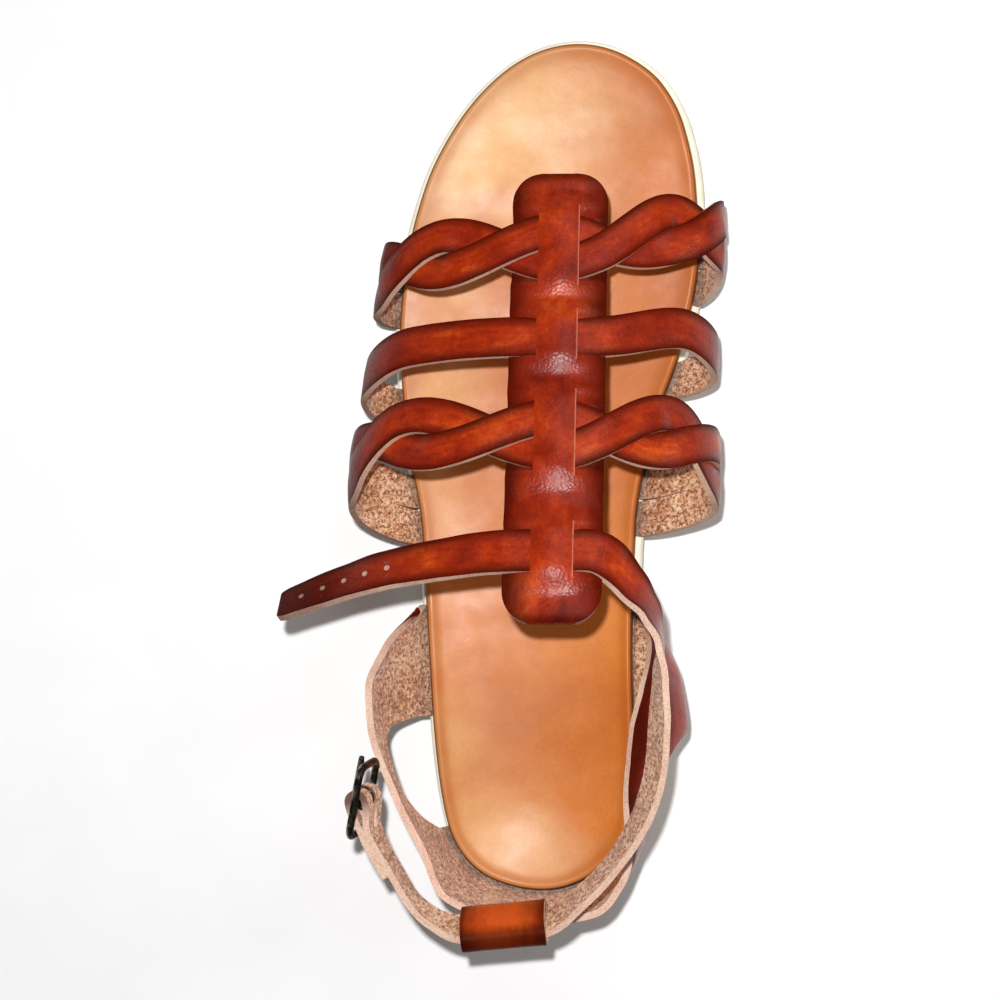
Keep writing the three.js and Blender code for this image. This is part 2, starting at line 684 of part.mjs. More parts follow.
function makeCounter() {
  const heights = [...TUCKED, 0.25, 0.5, 0.75, 1];
  const wall = counterWall(-COUNTER_TURN, COUNTER_TURN, 44, heights, LEATHER);
  return wall.subtract(sideOpening()).add(heelLoop()).subtract(loopCavity());
}

// Ankle strap
const anklePath = new THREE.CatmullRomCurve3(ANKLE.map(({ out, along, up }) => vector(
  out * BALL_WIDTH,
  along * FOOTBED_LENGTH,
  up[0] * INSTEP_HEIGHT + up[1] * COUNTER_HEIGHT,
)), false, 'centripetal');

// Frame of the strap at a row: run along it, front edge across it and the smooth side's normal
function ankleFrame(row) {
  const last = ANKLE.length - 1;
  const share = THREE.MathUtils.clamp(row / last, 0, 1);
  const run = anklePath.getTangent(share);
  const level = new THREE.Vector3().crossVectors(UP, run).normalize();
  const rise = new THREE.Vector3().crossVectors(run, level);
  const from = Math.min(Math.floor(row), last - 1);
  const blend = THREE.MathUtils.smoothstep(row - from, 0, 1);
  const turned = THREE.MathUtils.lerp(ANKLE[from].roll, ANKLE[from + 1].roll, blend);
  const roll = THREE.MathUtils.degToRad(turned);
  const across = level.multiplyScalar(Math.cos(roll)).addScaledVector(rise, Math.sin(roll));
  const normal = new THREE.Vector3().crossVectors(run, across);
  return { point: anklePath.getPoint(share), run, across, normal };
}

function bandRing({ point, across, normal }, width, thickness, shift = 0) {
  const corner = (side, height) => point.clone()
    .addScaledVector(across, side * width / 2)
    .addScaledVector(normal, shift + height * thickness / 2);
  return [corner(-1, 1), corner(-1, -1), corner(1, -1), corner(1, 1)];
}

// The strap's two plies part round the buckle's bar
const SLEEVE = WIRE / 2 + GAP + HALF;
const SLEEVE_LENGTH = 8;

function plyShift(distance) {
  const part = 1 - THREE.MathUtils.smoothstep(distance, 1, SLEEVE_LENGTH);
  return THREE.MathUtils.lerp(HALF - BITE, SLEEVE, part);
}

function makeAnkleStrap() {
  const last = ANKLE.length - 1;
  const length = anklePath.getLength();
  const barFrame = ankleFrame(last);
  const rows = stations(0, last, 2 * last);
  const distance = (row) => anklePath.getPoint(row / last).distanceTo(barFrame.point);
  const fade = (row) => 1 - THREE.MathUtils.smoothstep(distance(row), FOLD_LENGTH, 1.5 * FOLD_LENGTH);
  const inner = solid(rows.map((row) => {
    const near = row > LOOP_ROW + 1 ? fade(row) : 0;
    return bandRing(ankleFrame(row), ANKLE_STRAP_WIDTH, LEATHER, -near * plyShift(distance(row)));
  }));
  const tail = rows.filter((row) => row > LOOP_ROW + 1 && distance(row) < FOLD_LENGTH);
  const outer = solid(tail.map((row) => (
    bandRing(ankleFrame(row), ANKLE_STRAP_WIDTH, LEATHER, plyShift(distance(row)))
  )));
  const bend = stations(-0.52, 0.52, 8).map((share) => {
    const angle = share * Math.PI;
    const ahead = barFrame.run.clone().multiplyScalar(Math.cos(angle));
    const normal = ahead.addScaledVector(barFrame.normal, Math.sin(angle));
    return { point: barFrame.point, across: barFrame.across, normal };
  });
  const fold = solid(bend.map((frame) => bandRing(frame, ANKLE_STRAP_WIDTH, LEATHER, SLEEVE)));
  const strap = join([inner, fold, outer]);
  return [...strapHoles(length), prongSlot()].reduce((rest, cut) => rest.subtract(cut), strap);
}

function strapHoles(length) {
  return Array.from({ length: HOLE_COUNT }, (_, i) => {
    const share = anklePath.getUtoTmapping((FIRST_HOLE + i * HOLE_PITCH) / length);
    const { point, run, across, normal } = ankleFrame(share * (ANKLE.length - 1));
    const punch = new THREE.CylinderGeometry(HOLE_DIAMETER / 2, HOLE_DIAMETER / 2, 3 * LEATHER, 12);
    const side = across.clone().negate();
    return placed(punch, new THREE.Matrix4().makeBasis(run, normal, side).setPosition(point));
  });
}

// Heel loop: a flat tube of leather that stands on the counter, round the ankle strap
function loopMatrix() {
  const { point, across, normal } = ankleFrame(LOOP_ROW);
  const run = ankleFrame(LOOP_ROW + 1).point.sub(ankleFrame(LOOP_ROW - 1).point).normalize();
  const flat = across.clone().addScaledVector(run, -across.dot(run)).normalize();
  const out = new THREE.Vector3().crossVectors(run, flat);
  return new THREE.Matrix4().makeBasis(flat, out, run).setPosition(point);
}

function flatTube(width, thickness, length) {
  const radius = thickness / 2;
  const reach = width / 2 - radius;
  const shape = new THREE.Shape();
  shape.absarc(reach, 0, radius, -Math.PI / 2, Math.PI / 2);
  shape.absarc(-reach, 0, radius, Math.PI / 2, 1.5 * Math.PI);
  const tube = new THREE.ExtrudeGeometry(shape, { depth: length, bevelEnabled: false, curveSegments: 8 });
  tube.translate(0, 0, -length / 2);
  return placed(tube, loopMatrix());
}

const CAVITY_WIDTH = ANKLE_STRAP_WIDTH + 4 * GAP;
const CAVITY_THICKNESS = LEATHER + 5 * GAP;

function heelLoop() {
  return flatTube(CAVITY_WIDTH + 2 * LOOP_WALL, CAVITY_THICKNESS + 2 * LOOP_WALL, LOOP_LENGTH);
}

function loopCavity() {
  return flatTube(CAVITY_WIDTH, CAVITY_THICKNESS, 1.4 * LOOP_LENGTH);
}

// Buckle, in axes at the middle of its bar: x ahead, y outward, z along the bar
function buckleMatrix() {
  const { point, run, across, normal } = ankleFrame(ANKLE.length - 1);
  const tilt = THREE.MathUtils.degToRad(FRAME_TILT);
  const ahead = run.clone().multiplyScalar(Math.cos(tilt)).addScaledVector(normal, -Math.sin(tilt));
  const out = new THREE.Vector3().crossVectors(across.clone().negate(), ahead);
  return new THREE.Matrix4().makeBasis(ahead, out, across.clone().negate()).setPosition(point);
}

const FRAME_WIDTH = ANKLE_STRAP_WIDTH + 2 * GAP + 2 * WIRE;

function wireRing(point, run, out, radius, sides = 8) {
  const across = new THREE.Vector3().crossVectors(run, out).normalize();
  return Array.from({ length: sides }, (_, i) => {
    const angle = 2 * Math.PI * (i + 0.5) / sides;
    return point.clone()
      .addScaledVector(out, radius * Math.cos(angle))
      .addScaledVector(across, radius * Math.sin(angle));
  });
}

function makeBuckleFrame() {
  const [reach, side] = [(FRAME_LENGTH - WIRE) / 2, (FRAME_WIDTH - WIRE) / 2];
  const out = vector(0, 1, 0);
  const rings = [];
  const corners = [[1, 1], [-1, 1], [-1, -1], [1, -1]];
  corners.forEach(([sx, sz], quarter) => {
    for (const share of stations(0, 1, 4)) {
      const angle = (quarter + share) * Math.PI / 2;
      const centre = vector(sx * (reach - FRAME_CORNER), 0, sz * (side - FRAME_CORNER));
      const radial = vector(Math.cos(angle), 0, Math.sin(angle));
      const point = centre.addScaledVector(radial, FRAME_CORNER);
      rings.push(wireRing(point, vector(-radial.z, 0, radial.x), out, WIRE / 2));
    }
  });
  rings.push(rings[0]);
  const frame = solid(rings, false);
  const bar = solid([-side, side].map((z) => wireRing(vector(0, 0, z), vector(0, 0, 1), out, WIRE / 2, 12)));
  return frame.add(bar).transform(buckleMatrix().toArray());
}

// The prong: a loop round the bar, then a wire that rests on the frame's front end
const PRONG_EYE = WIRE / 2 + GAP + PRONG_WIRE / 2;

function makeProng() {
  const width = vector(0, 0, 1);
  const rest = WIRE / 2 + GAP + PRONG_WIRE / 2;
  const reach = FRAME_LENGTH / 2;
  const ring = stations(0, 1, 16).map((share) => {
    const angle = 2 * Math.PI * share;
    const radial = vector(Math.cos(angle), Math.sin(angle), 0);
    const run = vector(-radial.y, radial.x, 0);
    return wireRing(radial.multiplyScalar(PRONG_EYE), run, width, PRONG_WIRE / 2);
  });
  const wire = [
    vector(0, PRONG_EYE, 0),
    vector(0.3 * reach, PRONG_EYE * 0.95, 0),
    vector(0.9 * reach, rest, 0),
    vector(1.12 * reach, rest, 0),
  ];
  const tip = [1, 1, 1, 0.7];
  const run = vector(1, 0, 0);
  const shank = solid(wire.map((point, i) => wireRing(point, run, width, tip[i] * PRONG_WIRE / 2)));
  return solid(ring, false).add(shank).transform(buckleMatrix().toArray());
}

// Slot along both plies of the strap's fold for the prong's loop and its swing
function prongSlot() {
  const { point, run, across, normal } = ankleFrame(ANKLE.length - 1);
  const width = PRONG_WIRE + 4 * GAP;
  const ahead = 2 * SLEEVE;
  const block = new THREE.BoxGeometry(SLOT_LENGTH + ahead, 4 * SLEEVE, width);
  block.translate((ahead - SLOT_LENGTH) / 2, 0, 0);
  const bar = across.clone().negate();
  return placed(block, new THREE.Matrix4().makeBasis(run, normal, bar).setPosition(point));
}

// Recesses of the sole for the leather that is tucked in between its layers
function tuckedLeather() {
  const extra = 2 * GAP;
  const straps = ROWS.flatMap((row) => [-1, 1].flatMap((side) => (
    rowStraps(row, 1.6 * side, (3 + 2 * GAP / TUCK_DEPTH) * side, 7, extra)
  )));
  const heights = [-1 - 2 * GAP / TUCK_DEPTH, ...TUCKED.slice(1), 0.25];
  const wall = counterWall(-COUNTER_TURN - 0.02, COUNTER_TURN + 0.02, 44, heights, LEATHER + extra);
  return [...straps, wall.subtract(sideOpening())];
}

const leather = tuckedLeather();
const clear = (shape) => leather.reduce((rest, cut) => rest.subtract(cut), shape);

const sandal = new THREE.Group();
sandal.position.y = -HEEL_REST;
sandal.add(toMesh('outsole', makeOutsole(), RUBBER_COLOR, 0.85));
sandal.add(toMesh('midsole', clear(makeMidsole()), FOAM_COLOR, 0.6));
sandal.add(toMesh('footbed', clear(makeFootbed()), FOOTBED_COLOR, 0.4));
sandal.add(toMesh('upper', makeUpper(), LEATHER_COLOR, 0.45));
sandal.add(toMesh('heel_counter', makeCounter(), LEATHER_COLOR, 0.5));
sandal.add(toMesh('ankle_strap', makeAnkleStrap(), LEATHER_COLOR, 0.45));
sandal.add(toMesh('buckle_frame', makeBuckleFrame(), METAL_COLOR, 0.35, 0.9));
sandal.add(toMesh('buckle_prong', makeProng(), METAL_COLOR, 0.35, 0.9));

export default sandal;
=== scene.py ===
import bisect
import math

import bpy
from mathutils import Matrix, Vector, noise


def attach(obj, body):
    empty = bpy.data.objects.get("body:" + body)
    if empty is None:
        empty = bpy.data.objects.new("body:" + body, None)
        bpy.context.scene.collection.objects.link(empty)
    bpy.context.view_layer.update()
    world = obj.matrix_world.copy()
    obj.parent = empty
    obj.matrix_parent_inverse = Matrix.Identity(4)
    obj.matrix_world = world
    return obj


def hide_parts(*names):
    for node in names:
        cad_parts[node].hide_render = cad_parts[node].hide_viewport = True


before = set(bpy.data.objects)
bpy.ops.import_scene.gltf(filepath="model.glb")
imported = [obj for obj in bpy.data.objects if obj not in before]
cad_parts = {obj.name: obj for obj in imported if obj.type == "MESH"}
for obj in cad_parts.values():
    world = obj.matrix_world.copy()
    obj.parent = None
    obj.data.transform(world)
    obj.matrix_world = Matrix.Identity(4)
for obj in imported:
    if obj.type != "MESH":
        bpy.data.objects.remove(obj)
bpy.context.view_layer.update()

# The sandal's own sizes, in millimetres, +Z up, +Y towards the toe and +X to the medial side
MM = 0.001
HEEL_REST = 28
FOOTBED_LENGTH = 225
BALL_WIDTH = 80
WAIST_WIDTH = 56
HEEL_WIDTH = 53
HEEL_HEIGHT = 20
BALL_HEIGHT = 14.5
TOE_SPRING = 6
ARCH_LIFT = 1.2
FOOTBED_THICKNESS = 4.5
FOOTBED_RIM = 1.5
FOOTBED_EDGE = 1
HEEL_CUP = 2
OUTSOLE_THICKNESS = 3
MIDSOLE_FLARE = 2
GROOVE_WIDTH = 2.4
GROOVE_DEPTH = 1
GROOVE_PITCH = 9
GROOVE_INSET = 6
FOREFOOT_REST = 0.7 * FOOTBED_LENGTH

LEATHER = 1.7
WALL = 1.8
INSTEP_HEIGHT = 84
SPINE_X = 8.3
SPINE_WIDTH = 24
SPINE_CROWN = 1.5
SPINE_CORNER = 7.5
SLIT_SPACING = 10
SLIT_MARGIN = 1.6
STRAP_WIDTH = 10.5
STRAND_WIDTH = 9.4
STRAND_LIFT = 0.92
STRAP_CROWN = 0.3
ANKLE_STRAP_WIDTH = 11
STRAP_HALF = ANKLE_STRAP_WIDTH / 2
TUCK_DEPTH = 8
COUNTER_HEIGHT = 52
LOOP_LENGTH = 21.5
LOOP_WALL = 1.5
LOOP_SLACK = 2
WORN_EDGE = 0.3
WORN_ANGLE = 50
HOLE_DIAMETER = 1.6
HOLE_PITCH = 6.2
HOLE_COUNT = 5
FIRST_HOLE = 6.5
FOLD_LENGTH = 20

WIRE = 2
PRONG_WIRE = 1.8
FRAME_LENGTH = 20
FRAME_CORNER = 3
FRAME_TILT = 24
SLOT_LENGTH = 8
GAP = 0.3

UP = Vector((0, 0, 1))


def table(names, rows):
    """Rows of numbers as a list of dicts with named columns."""
    return [dict(zip(names.split(), row)) for row in rows]


def clamp(value, low, high):
    return max(low, min(high, value))


def mix(a, b, share):
    return a + (b - a) * share


def smoothstep(value, low, high):
    share = clamp((value - low) / (high - low), 0, 1)
    return share * share * (3 - 2 * share)


def stations(start, end, count):
    return [start + (end - start) * i / count for i in range(count + 1)]


def circle(count):
    """Even angles once round."""
    return stations(0, 2 * math.pi, count)[:-1]


def turn_at(along):
    """Angle round the outline of a station, so that its round ends stay round."""
    return math.acos(1 - 2 * clamp(along, 0, 1))


class Curve:
    """Smooth curve through points that never overshoots them."""

    def __init__(self, keys, values):
        self.keys, self.values = list(keys), list(values)
        gaps = [b - a for a, b in zip(self.keys, self.keys[1:])]
        slopes = [(b - a) / gap for a, b, gap in zip(self.values, self.values[1:], gaps)]
        inner = [
            0 if a * b <= 0 else 2 * a * b / (a + b)
            for a, b in zip(slopes, slopes[1:])
        ]
        self.tangents = [slopes[0], *inner, slopes[-1]]

    def __call__(self, at):
        if at <= self.keys[0]:
            return self.values[0]
        if at >= self.keys[-1]:
            return self.values[-1]
        i = bisect.bisect_right(self.keys, at) - 1
        step = self.keys[i + 1] - self.keys[i]
        t = (at - self.keys[i]) / step
        t2, t3 = t * t, t * t * t
        return (
            (2 * t3 - 3 * t2 + 1) * self.values[i]
            + (t3 - 2 * t2 + t) * step * self.tangents[i]
            + (3 * t2 - 2 * t3) * self.values[i + 1]
            + (t3 - t2) * step * self.tangents[i + 1]
        )


def column_curve(rows, key, column):
    return Curve([row[key] for row in rows], [row[column] for row in rows])


# Footbed outline: shares of the length, and half widths as shares of the named width
OUTLINE = table("along width lateral medial", [
    (0, HEEL_WIDTH, -0.04, 0.04),
    (0.028, HEEL_WIDTH, 0.311, 0.338),
    (0.0755, HEEL_WIDTH, 0.432, 0.474),
    (0.171, HEEL_WIDTH, 0.498, 0.502),
    (0.289, WAIST_WIDTH, 0.505, 0.466),
    (0.431, WAIST_WIDTH, 0.543, 0.482),
    (0.538, BALL_WIDTH, 0.434, 0.39),
    (0.656, BALL_WIDTH, 0.46, 0.5),
    (0.751, BALL_WIDTH, 0.434, 0.546),
    (0.834, BALL_WIDTH, 0.374, 0.536),
    (0.905, BALL_WIDTH, 0.27, 0.496),
    (0.953, BALL_WIDTH, 0.156, 0.425),
    (0.985, BALL_WIDTH, 0.03, 0.31),
    (1, BALL_WIDTH, -0.144, 0.144),
])
OUTLINE_HALVES = {
    side: Curve(
        [turn_at(row["along"]) for row in OUTLINE],
        [row[name] * row["width"] for row in OUTLINE],
    )
    for side, name in ((-1, "lateral"), (1, "medial"))
}

# Side profile of the sole: shares of the toe spring, of the arch lift and of the heel's rise
PROFILE = table("along spring arch rise", [
    (-0.05, 0, 0, 1),
    (0.2, 0, 0, 1),
    (0.36, 0, 0, 0.9),
    (0.46, 0, 1, 0.58),
    (0.56, 0, 0, 0.22),
    (0.68, 0, 0, 0),
    (0.79, 0, 0, 0),
    (0.9, 0.38, 0, 0),
    (1.05, 1.2, 0, 0),
])
SPRING, ARCH, RISE = (column_curve(PROFILE, "along", name) for name in ("spring", "arch", "rise"))

# The last over which the straps lie: widest points as shares of the ball's width, their level
# and the ridge as shares of the instep's height
LAST = table("along lateral medial level ridge", [
    (0.33, 0.56, 0.56, 0.48, 1),
    (0.406, 0.58, 0.59, 0.46, 0.917),
    (0.489, 0.585, 0.61, 0.43, 0.832),
    (0.534, 0.575, 0.61, 0.4, 0.786),
    (0.6, 0.545, 0.602, 0.36, 0.719),
    (0.66, 0.525, 0.606, 0.335, 0.664),
    (0.72, 0.502, 0.618, 0.32, 0.602),
    (0.77, 0.48, 0.624, 0.31, 0.552),
    (0.834, 0.44, 0.62, 0.3, 0.5),
    (0.9, 0.4, 0.6, 0.3, 0.47),
])
LAST_SIDES = {-1: column_curve(LAST, "along", "lateral"), 1: column_curve(LAST, "along", "medial")}
LAST_LEVEL = column_curve(LAST, "along", "level")
LAST_RIDGE = column_curve(LAST, "along", "ridge")

# Where each row of straps runs, as shares of the length, from its slit to the sole
ROWS = table("name slit lateral medial twisted", [
    ("front", 0.748, (0.74, 0.716, 0.709), (0.772, 0.766, 0.735), True),
    ("middle", 0.644, (0.636, 0.597, 0.571), (0.656, 0.625, 0.604), False),
    ("rear", 0.534, (0.536, 0.49, 0.449), (0.538, 0.492, 0.46), True),
])
ANKLE_SLIT = 0.406
SPINE_ENDS = (0.329 * FOOTBED_LENGTH, 0.834 * FOOTBED_LENGTH)

# Turn round the last at which a twisted pair crosses, and how far its strands lie apart
CROSSINGS = {-1: (0.2, 0.67), 1: (0.23, 0.72)}
SPREAD = Curve((0, 0.3, 1, 2, 3), (4.7, 4.7, 4.75, 4.85, 4.85))

# Heel counter, from the lateral wing round the heel: its foot on the outline, then its middle
# and top edge as shares of the heel's width, the length and the counter's height
COUNTER = table("foot mid top", [
    (-0.3356, (-0.577, 0.332, 0.37), (-0.592, 0.327, 0.42)),
    (-0.293, (-0.65, 0.3, 0.55), (-0.706, 0.29, 0.79)),
    (-0.249, (-0.689, 0.253, 0.63), (-0.766, 0.247, 0.96)),
    (-0.203, (-0.694, 0.207, 0.65), (-0.755, 0.207, 1)),
    (-0.133, (-0.632, 0.136, 0.65), (-0.645, 0.133, 1)),
    (-0.0667, (-0.49, 0.064, 0.65), (-0.506, 0.067, 1)),
    (-0.0222, (-0.33, 0.0125, 0.65), (-0.387, 0.011, 1.02)),
    (0, (0.028, -0.0142, 0.65), (-0.02, -0.014, 1.06)),
    (0.0222, (0.349, 0.008, 0.65), (0.33, -0.0044, 1.04)),
    (0.0667, (0.538, 0.062, 0.65), (0.498, 0.058, 1)),
    (0.133, (0.642, 0.133, 0.65), (0.479, 0.129, 1)),
    (0.203, (0.755, 0.204, 0.63), (0.506, 0.202, 1)),
    (0.249, (0.726, 0.251, 0.6), (0.553, 0.249, 0.98)),
    (0.293, (0.642, 0.296, 0.5), (0.585, 0.291, 0.79)),
    (0.3356, (0.532, 0.332, 0.37), (0.543, 0.327, 0.42)),
])

# Upper edge of the counter's side openings: shares of the length and the counter's height
OPENING = Curve(
    (0.074, 0.092, 0.12, 0.15, 0.18, 0.194, 0.203),
    (0.48, 0.66, 0.78, 0.8, 0.77, 0.66, 0.42),
)
OPENING_ENDS = (OPENING.keys[0], OPENING.keys[-1])
OPENING_REAR = 0.067

# Ankle strap from its free end to the buckle: shares of the ball's width and of the length, its
# height as shares of the instep's and the counter's height, and the strap's roll in degrees
ANKLE = table("out along instep counter roll", [
    (-0.767, 0.342, 0.738, 0, -57),
    (-0.572, 0.3675, 0.786, 0, -48),
    (-0.43, 0.3835, 0.833, 0, -40),
    (-0.28, 0.3945, 0.872, 0, -33),
    (-0.13, 0.403, 0.901, 0, -26),
    (-0.035, ANKLE_SLIT, 0.916, 0, -22),
    (0.104, ANKLE_SLIT, 0.917, 0, -22),
    (0.248, 0.404, 0.913, 0, -25),
    (0.342, 0.372, 0.904, 0, -48),
    (0.4, 0.344, 0.665, 0.359, -68),
    (0.43, 0.312, 0.435, 0.701, -86),
    (0.4325, 0.268, 0.213, 1.031, -104),
    (0.4285, 0.22, 0, 1.346, -112),
    (0.42, 0.174, 0, 1.309, -113),
    (0.395, 0.134, 0, 1.276, -112),
    (0.355, 0.1, 0, 1.244, -109),
    (0.285, 0.06, 0, 1.216, -105),
    (0.19, 0.022, 0, 1.186, -106),
    (0.082, -0.008, 0, 1.157, -113),
    (-0.061, -0.0142, 0, 1.153, -114),
    (-0.2, -0.0187, 0, 1.153, -111),
    (-0.29, -0.0055, 0, 1.165, -100),
    (-0.362, 0.0185, 0, 1.166, -95),
    (-0.435, 0.058, 0, 1.179, -95),
    (-0.482, 0.092, 0, 1.189, -98),
    (-0.505, 0.128, 0, 1.195, -101),
])
LOOP_ROW = 19


# Forms of the sole
def outline_point(turn):
    """Point on the footbed's outline: the turn is negative on the lateral side, 0 at the heel."""
    side = -1 if turn < 0 else 1
    x = side * OUTLINE_HALVES[side](abs(turn))
    return Vector((x, FOOTBED_LENGTH * (1 - math.cos(turn)) / 2, 0))


def outline_normal(turn):
    step = 0.02
    run = outline_point(turn + step) - outline_point(turn - step)
    return Vector((run.y, -run.x, 0)).normalized()


def floor_lift(y):
    along = y / FOOTBED_LENGTH
    return TOE_SPRING * SPRING(along) + ARCH_LIFT * ARCH(along)


def footbed_top(y):
    along = y / FOOTBED_LENGTH
    rise = (HEEL_HEIGHT - BALL_HEIGHT) * RISE(along)
    return BALL_HEIGHT + rise + TOE_SPRING * SPRING(along)


def footbed_bottom(y):
    return footbed_top(y) - FOOTBED_THICKNESS


def midsole_bottom(y):
    return floor_lift(y) + OUTSOLE_THICKNESS + GAP


def rim_height(y):
    return FOOTBED_RIM + HEEL_CUP * smoothstep(0.5 - y / FOOTBED_LENGTH, 0, 0.4)


def tuck_point(turn, share):
    """Leather tucked under the footbed: down past its side, round its corner, then inward."""
    radius = FOOTBED_EDGE + GAP + WALL / 2
    point = outline_point(turn)
    bend = min(share * 2, 1) * math.pi / 2
    run = max(share * 2 - 1, 0) * TUCK_DEPTH
    out = GAP + WALL / 2 - radius * (1 - math.cos(bend)) - run
    moved = point + outline_normal(turn) * out
    moved.z = footbed_bottom(point.y) + FOOTBED_EDGE - radius * math.sin(bend)
    return moved


# Forms of the upper
def bezier(points, t):
    u = 1 - t
    weights = (u * u * u, 3 * u * u * t, 3 * u * t * t, t * t * t)
    return sum((p * w for p, w in zip(points, weights)), Vector((0, 0, 0)))


def ridge_height(y):
    return INSTEP_HEIGHT * LAST_RIDGE(y / FOOTBED_LENGTH)


def last_point(y, around):
    """Surface of the last: around is 0 on the ridge, 1 at the widest point, 2 at the sole's
    joint and 3 at the end that is tucked in, and it is negative on the lateral side."""
    side = -1 if around < 0 else 1
    turn = abs(around)
    along = y / FOOTBED_LENGTH
    edge_turn = side * turn_at(along)
    if turn > 2:
        return tuck_point(edge_turn, turn - 2)
    level = INSTEP_HEIGHT * LAST_LEVEL(along)
    widest = Vector((side * BALL_WIDTH * LAST_SIDES[side](along), y, level))
    if turn <= 1:
        ridge = Vector((SPINE_X, y, ridge_height(y)))
        flat = ridge + Vector((0.5 * (widest.x - ridge.x), 0, 0))
        steep = widest + Vector((0, 0, 0.6 * (ridge.z - widest.z)))
        return bezier((ridge, flat, steep, widest), turn)
    foot = tuck_point(edge_turn, 0)
    drop = level - foot.z
    lower = widest - Vector((0, 0, 0.45 * drop))
    rise = foot + Vector((side * 0.12 * drop, 0, 0.4 * drop))
    return bezier((widest, lower, rise, foot), turn - 1)


def strap_row(route, around, width, columns):
    """Points across a strap on the last, from its rear edge to its front edge."""
    step = 0.01
    middle = route(around)
    along = (last_point(middle + step, around) - last_point(middle - step, around)) / (2 * step)
    across = (last_point(middle, around + step) - last_point(middle, around - step)) / (2 * step)
    normal = across.cross(along).normalized()
    ahead = last_point(route(around + step), around + step)
    run = (ahead - last_point(route(around - step), around - step)).normalized()
    side = normal.cross(run).normalized()
    solve = along.length_squared * across.length_squared - along.dot(across) ** 2
    dy = (side.dot(along) * across.length_squared - side.dot(across) * along.dot(across)) / solve
    da = (side.dot(across) * along.length_squared - side.dot(along) * along.dot(across)) / solve
    reach = width / 2
    points = [last_point(middle + reach * t * dy, around + reach * t * da) for t in columns]
    return points, normal


def row_line(row, side):
    mid, widest, foot = row["lateral"] if side < 0 else row["medial"]
    shares = (row["slit"], row["slit"], mid, widest, foot, foot)
    return Curve((0, 0.15, 0.55, 1, 2, 3), [FOOTBED_LENGTH * share for share in shares])


def plain_strap(row):
    """Middle line and lift of a plain strap."""
    lines = {side: row_line(row, side) for side in (-1, 1)}
    return lambda around: lines[-1 if around < 0 else 1](abs(around)), lambda around, t: 0


def twisted_strand(row, strand):
    """Middle line and lift of a strand that swings to and fro, over and under the other one."""
    lines = {side: row_line(row, side) for side in (-1, 1)}

    def phase_at(around):
        first, second = CROSSINGS[-1 if around < 0 else 1]
        return math.pi * clamp((abs(around) - first) / (second - first), -0.5, 1.5)

    def route(around):
        swing = SPREAD(abs(around)) * math.sin(phase_at(around))
        return lines[-1 if around < 0 else 1](abs(around)) - strand * swing

    def lift(around, t):
        over = strand * (1 if around < 0 else -1)
        phase = phase_at(around)
        place = -strand * math.sin(phase)
        near = 0.5 * (1 - t * place)
        ease = smoothstep(abs(around), 0, 0.07)
        ease *= 1 - smoothstep(phase, 1.2 * math.pi, 1.5 * math.pi)
        level = math.cos(phase) * ease
        return STRAND_LIFT * over * (near * math.tanh(3.5 * level) + (1 - near) * level)

    return route, lift


# Forms of the heel counter
COUNTER_TURNS = [math.copysign(turn_at(abs(row["foot"])), row["foot"]) for row in COUNTER]
COUNTER_TURN = COUNTER_TURNS[-1]
COUNTER_SCALE = (HEEL_WIDTH, FOOTBED_LENGTH, COUNTER_HEIGHT)
COUNTER_CURVES = {
    part: [
        Curve(COUNTER_TURNS, [row[part][axis] * COUNTER_SCALE[axis] for row in COUNTER])
        for axis in range(3)
    ]
    for part in ("mid", "top")
}


def counter_point(turn, height):
    if height < 0:
        return tuck_point(turn, -height)
    foot = tuck_point(turn, 0)
    mid, top = (Vector([curve(turn) for curve in COUNTER_CURVES[part]]) for part in ("mid", "top"))
    near, far = (1 - height) * (1 - 2 * height), height * (2 * height - 1)
    return foot * near + mid * (4 * height * (1 - height)) + top * far


def counter_height_at(turn, z):
    """Share of the counter's height at which it reaches a level."""
    low, high = 0.0, 1.0
    for _ in range(20):
        middle = (low + high) / 2
        low, high = (middle, high) if counter_point(turn, middle).z < z else (low, middle)
    return low


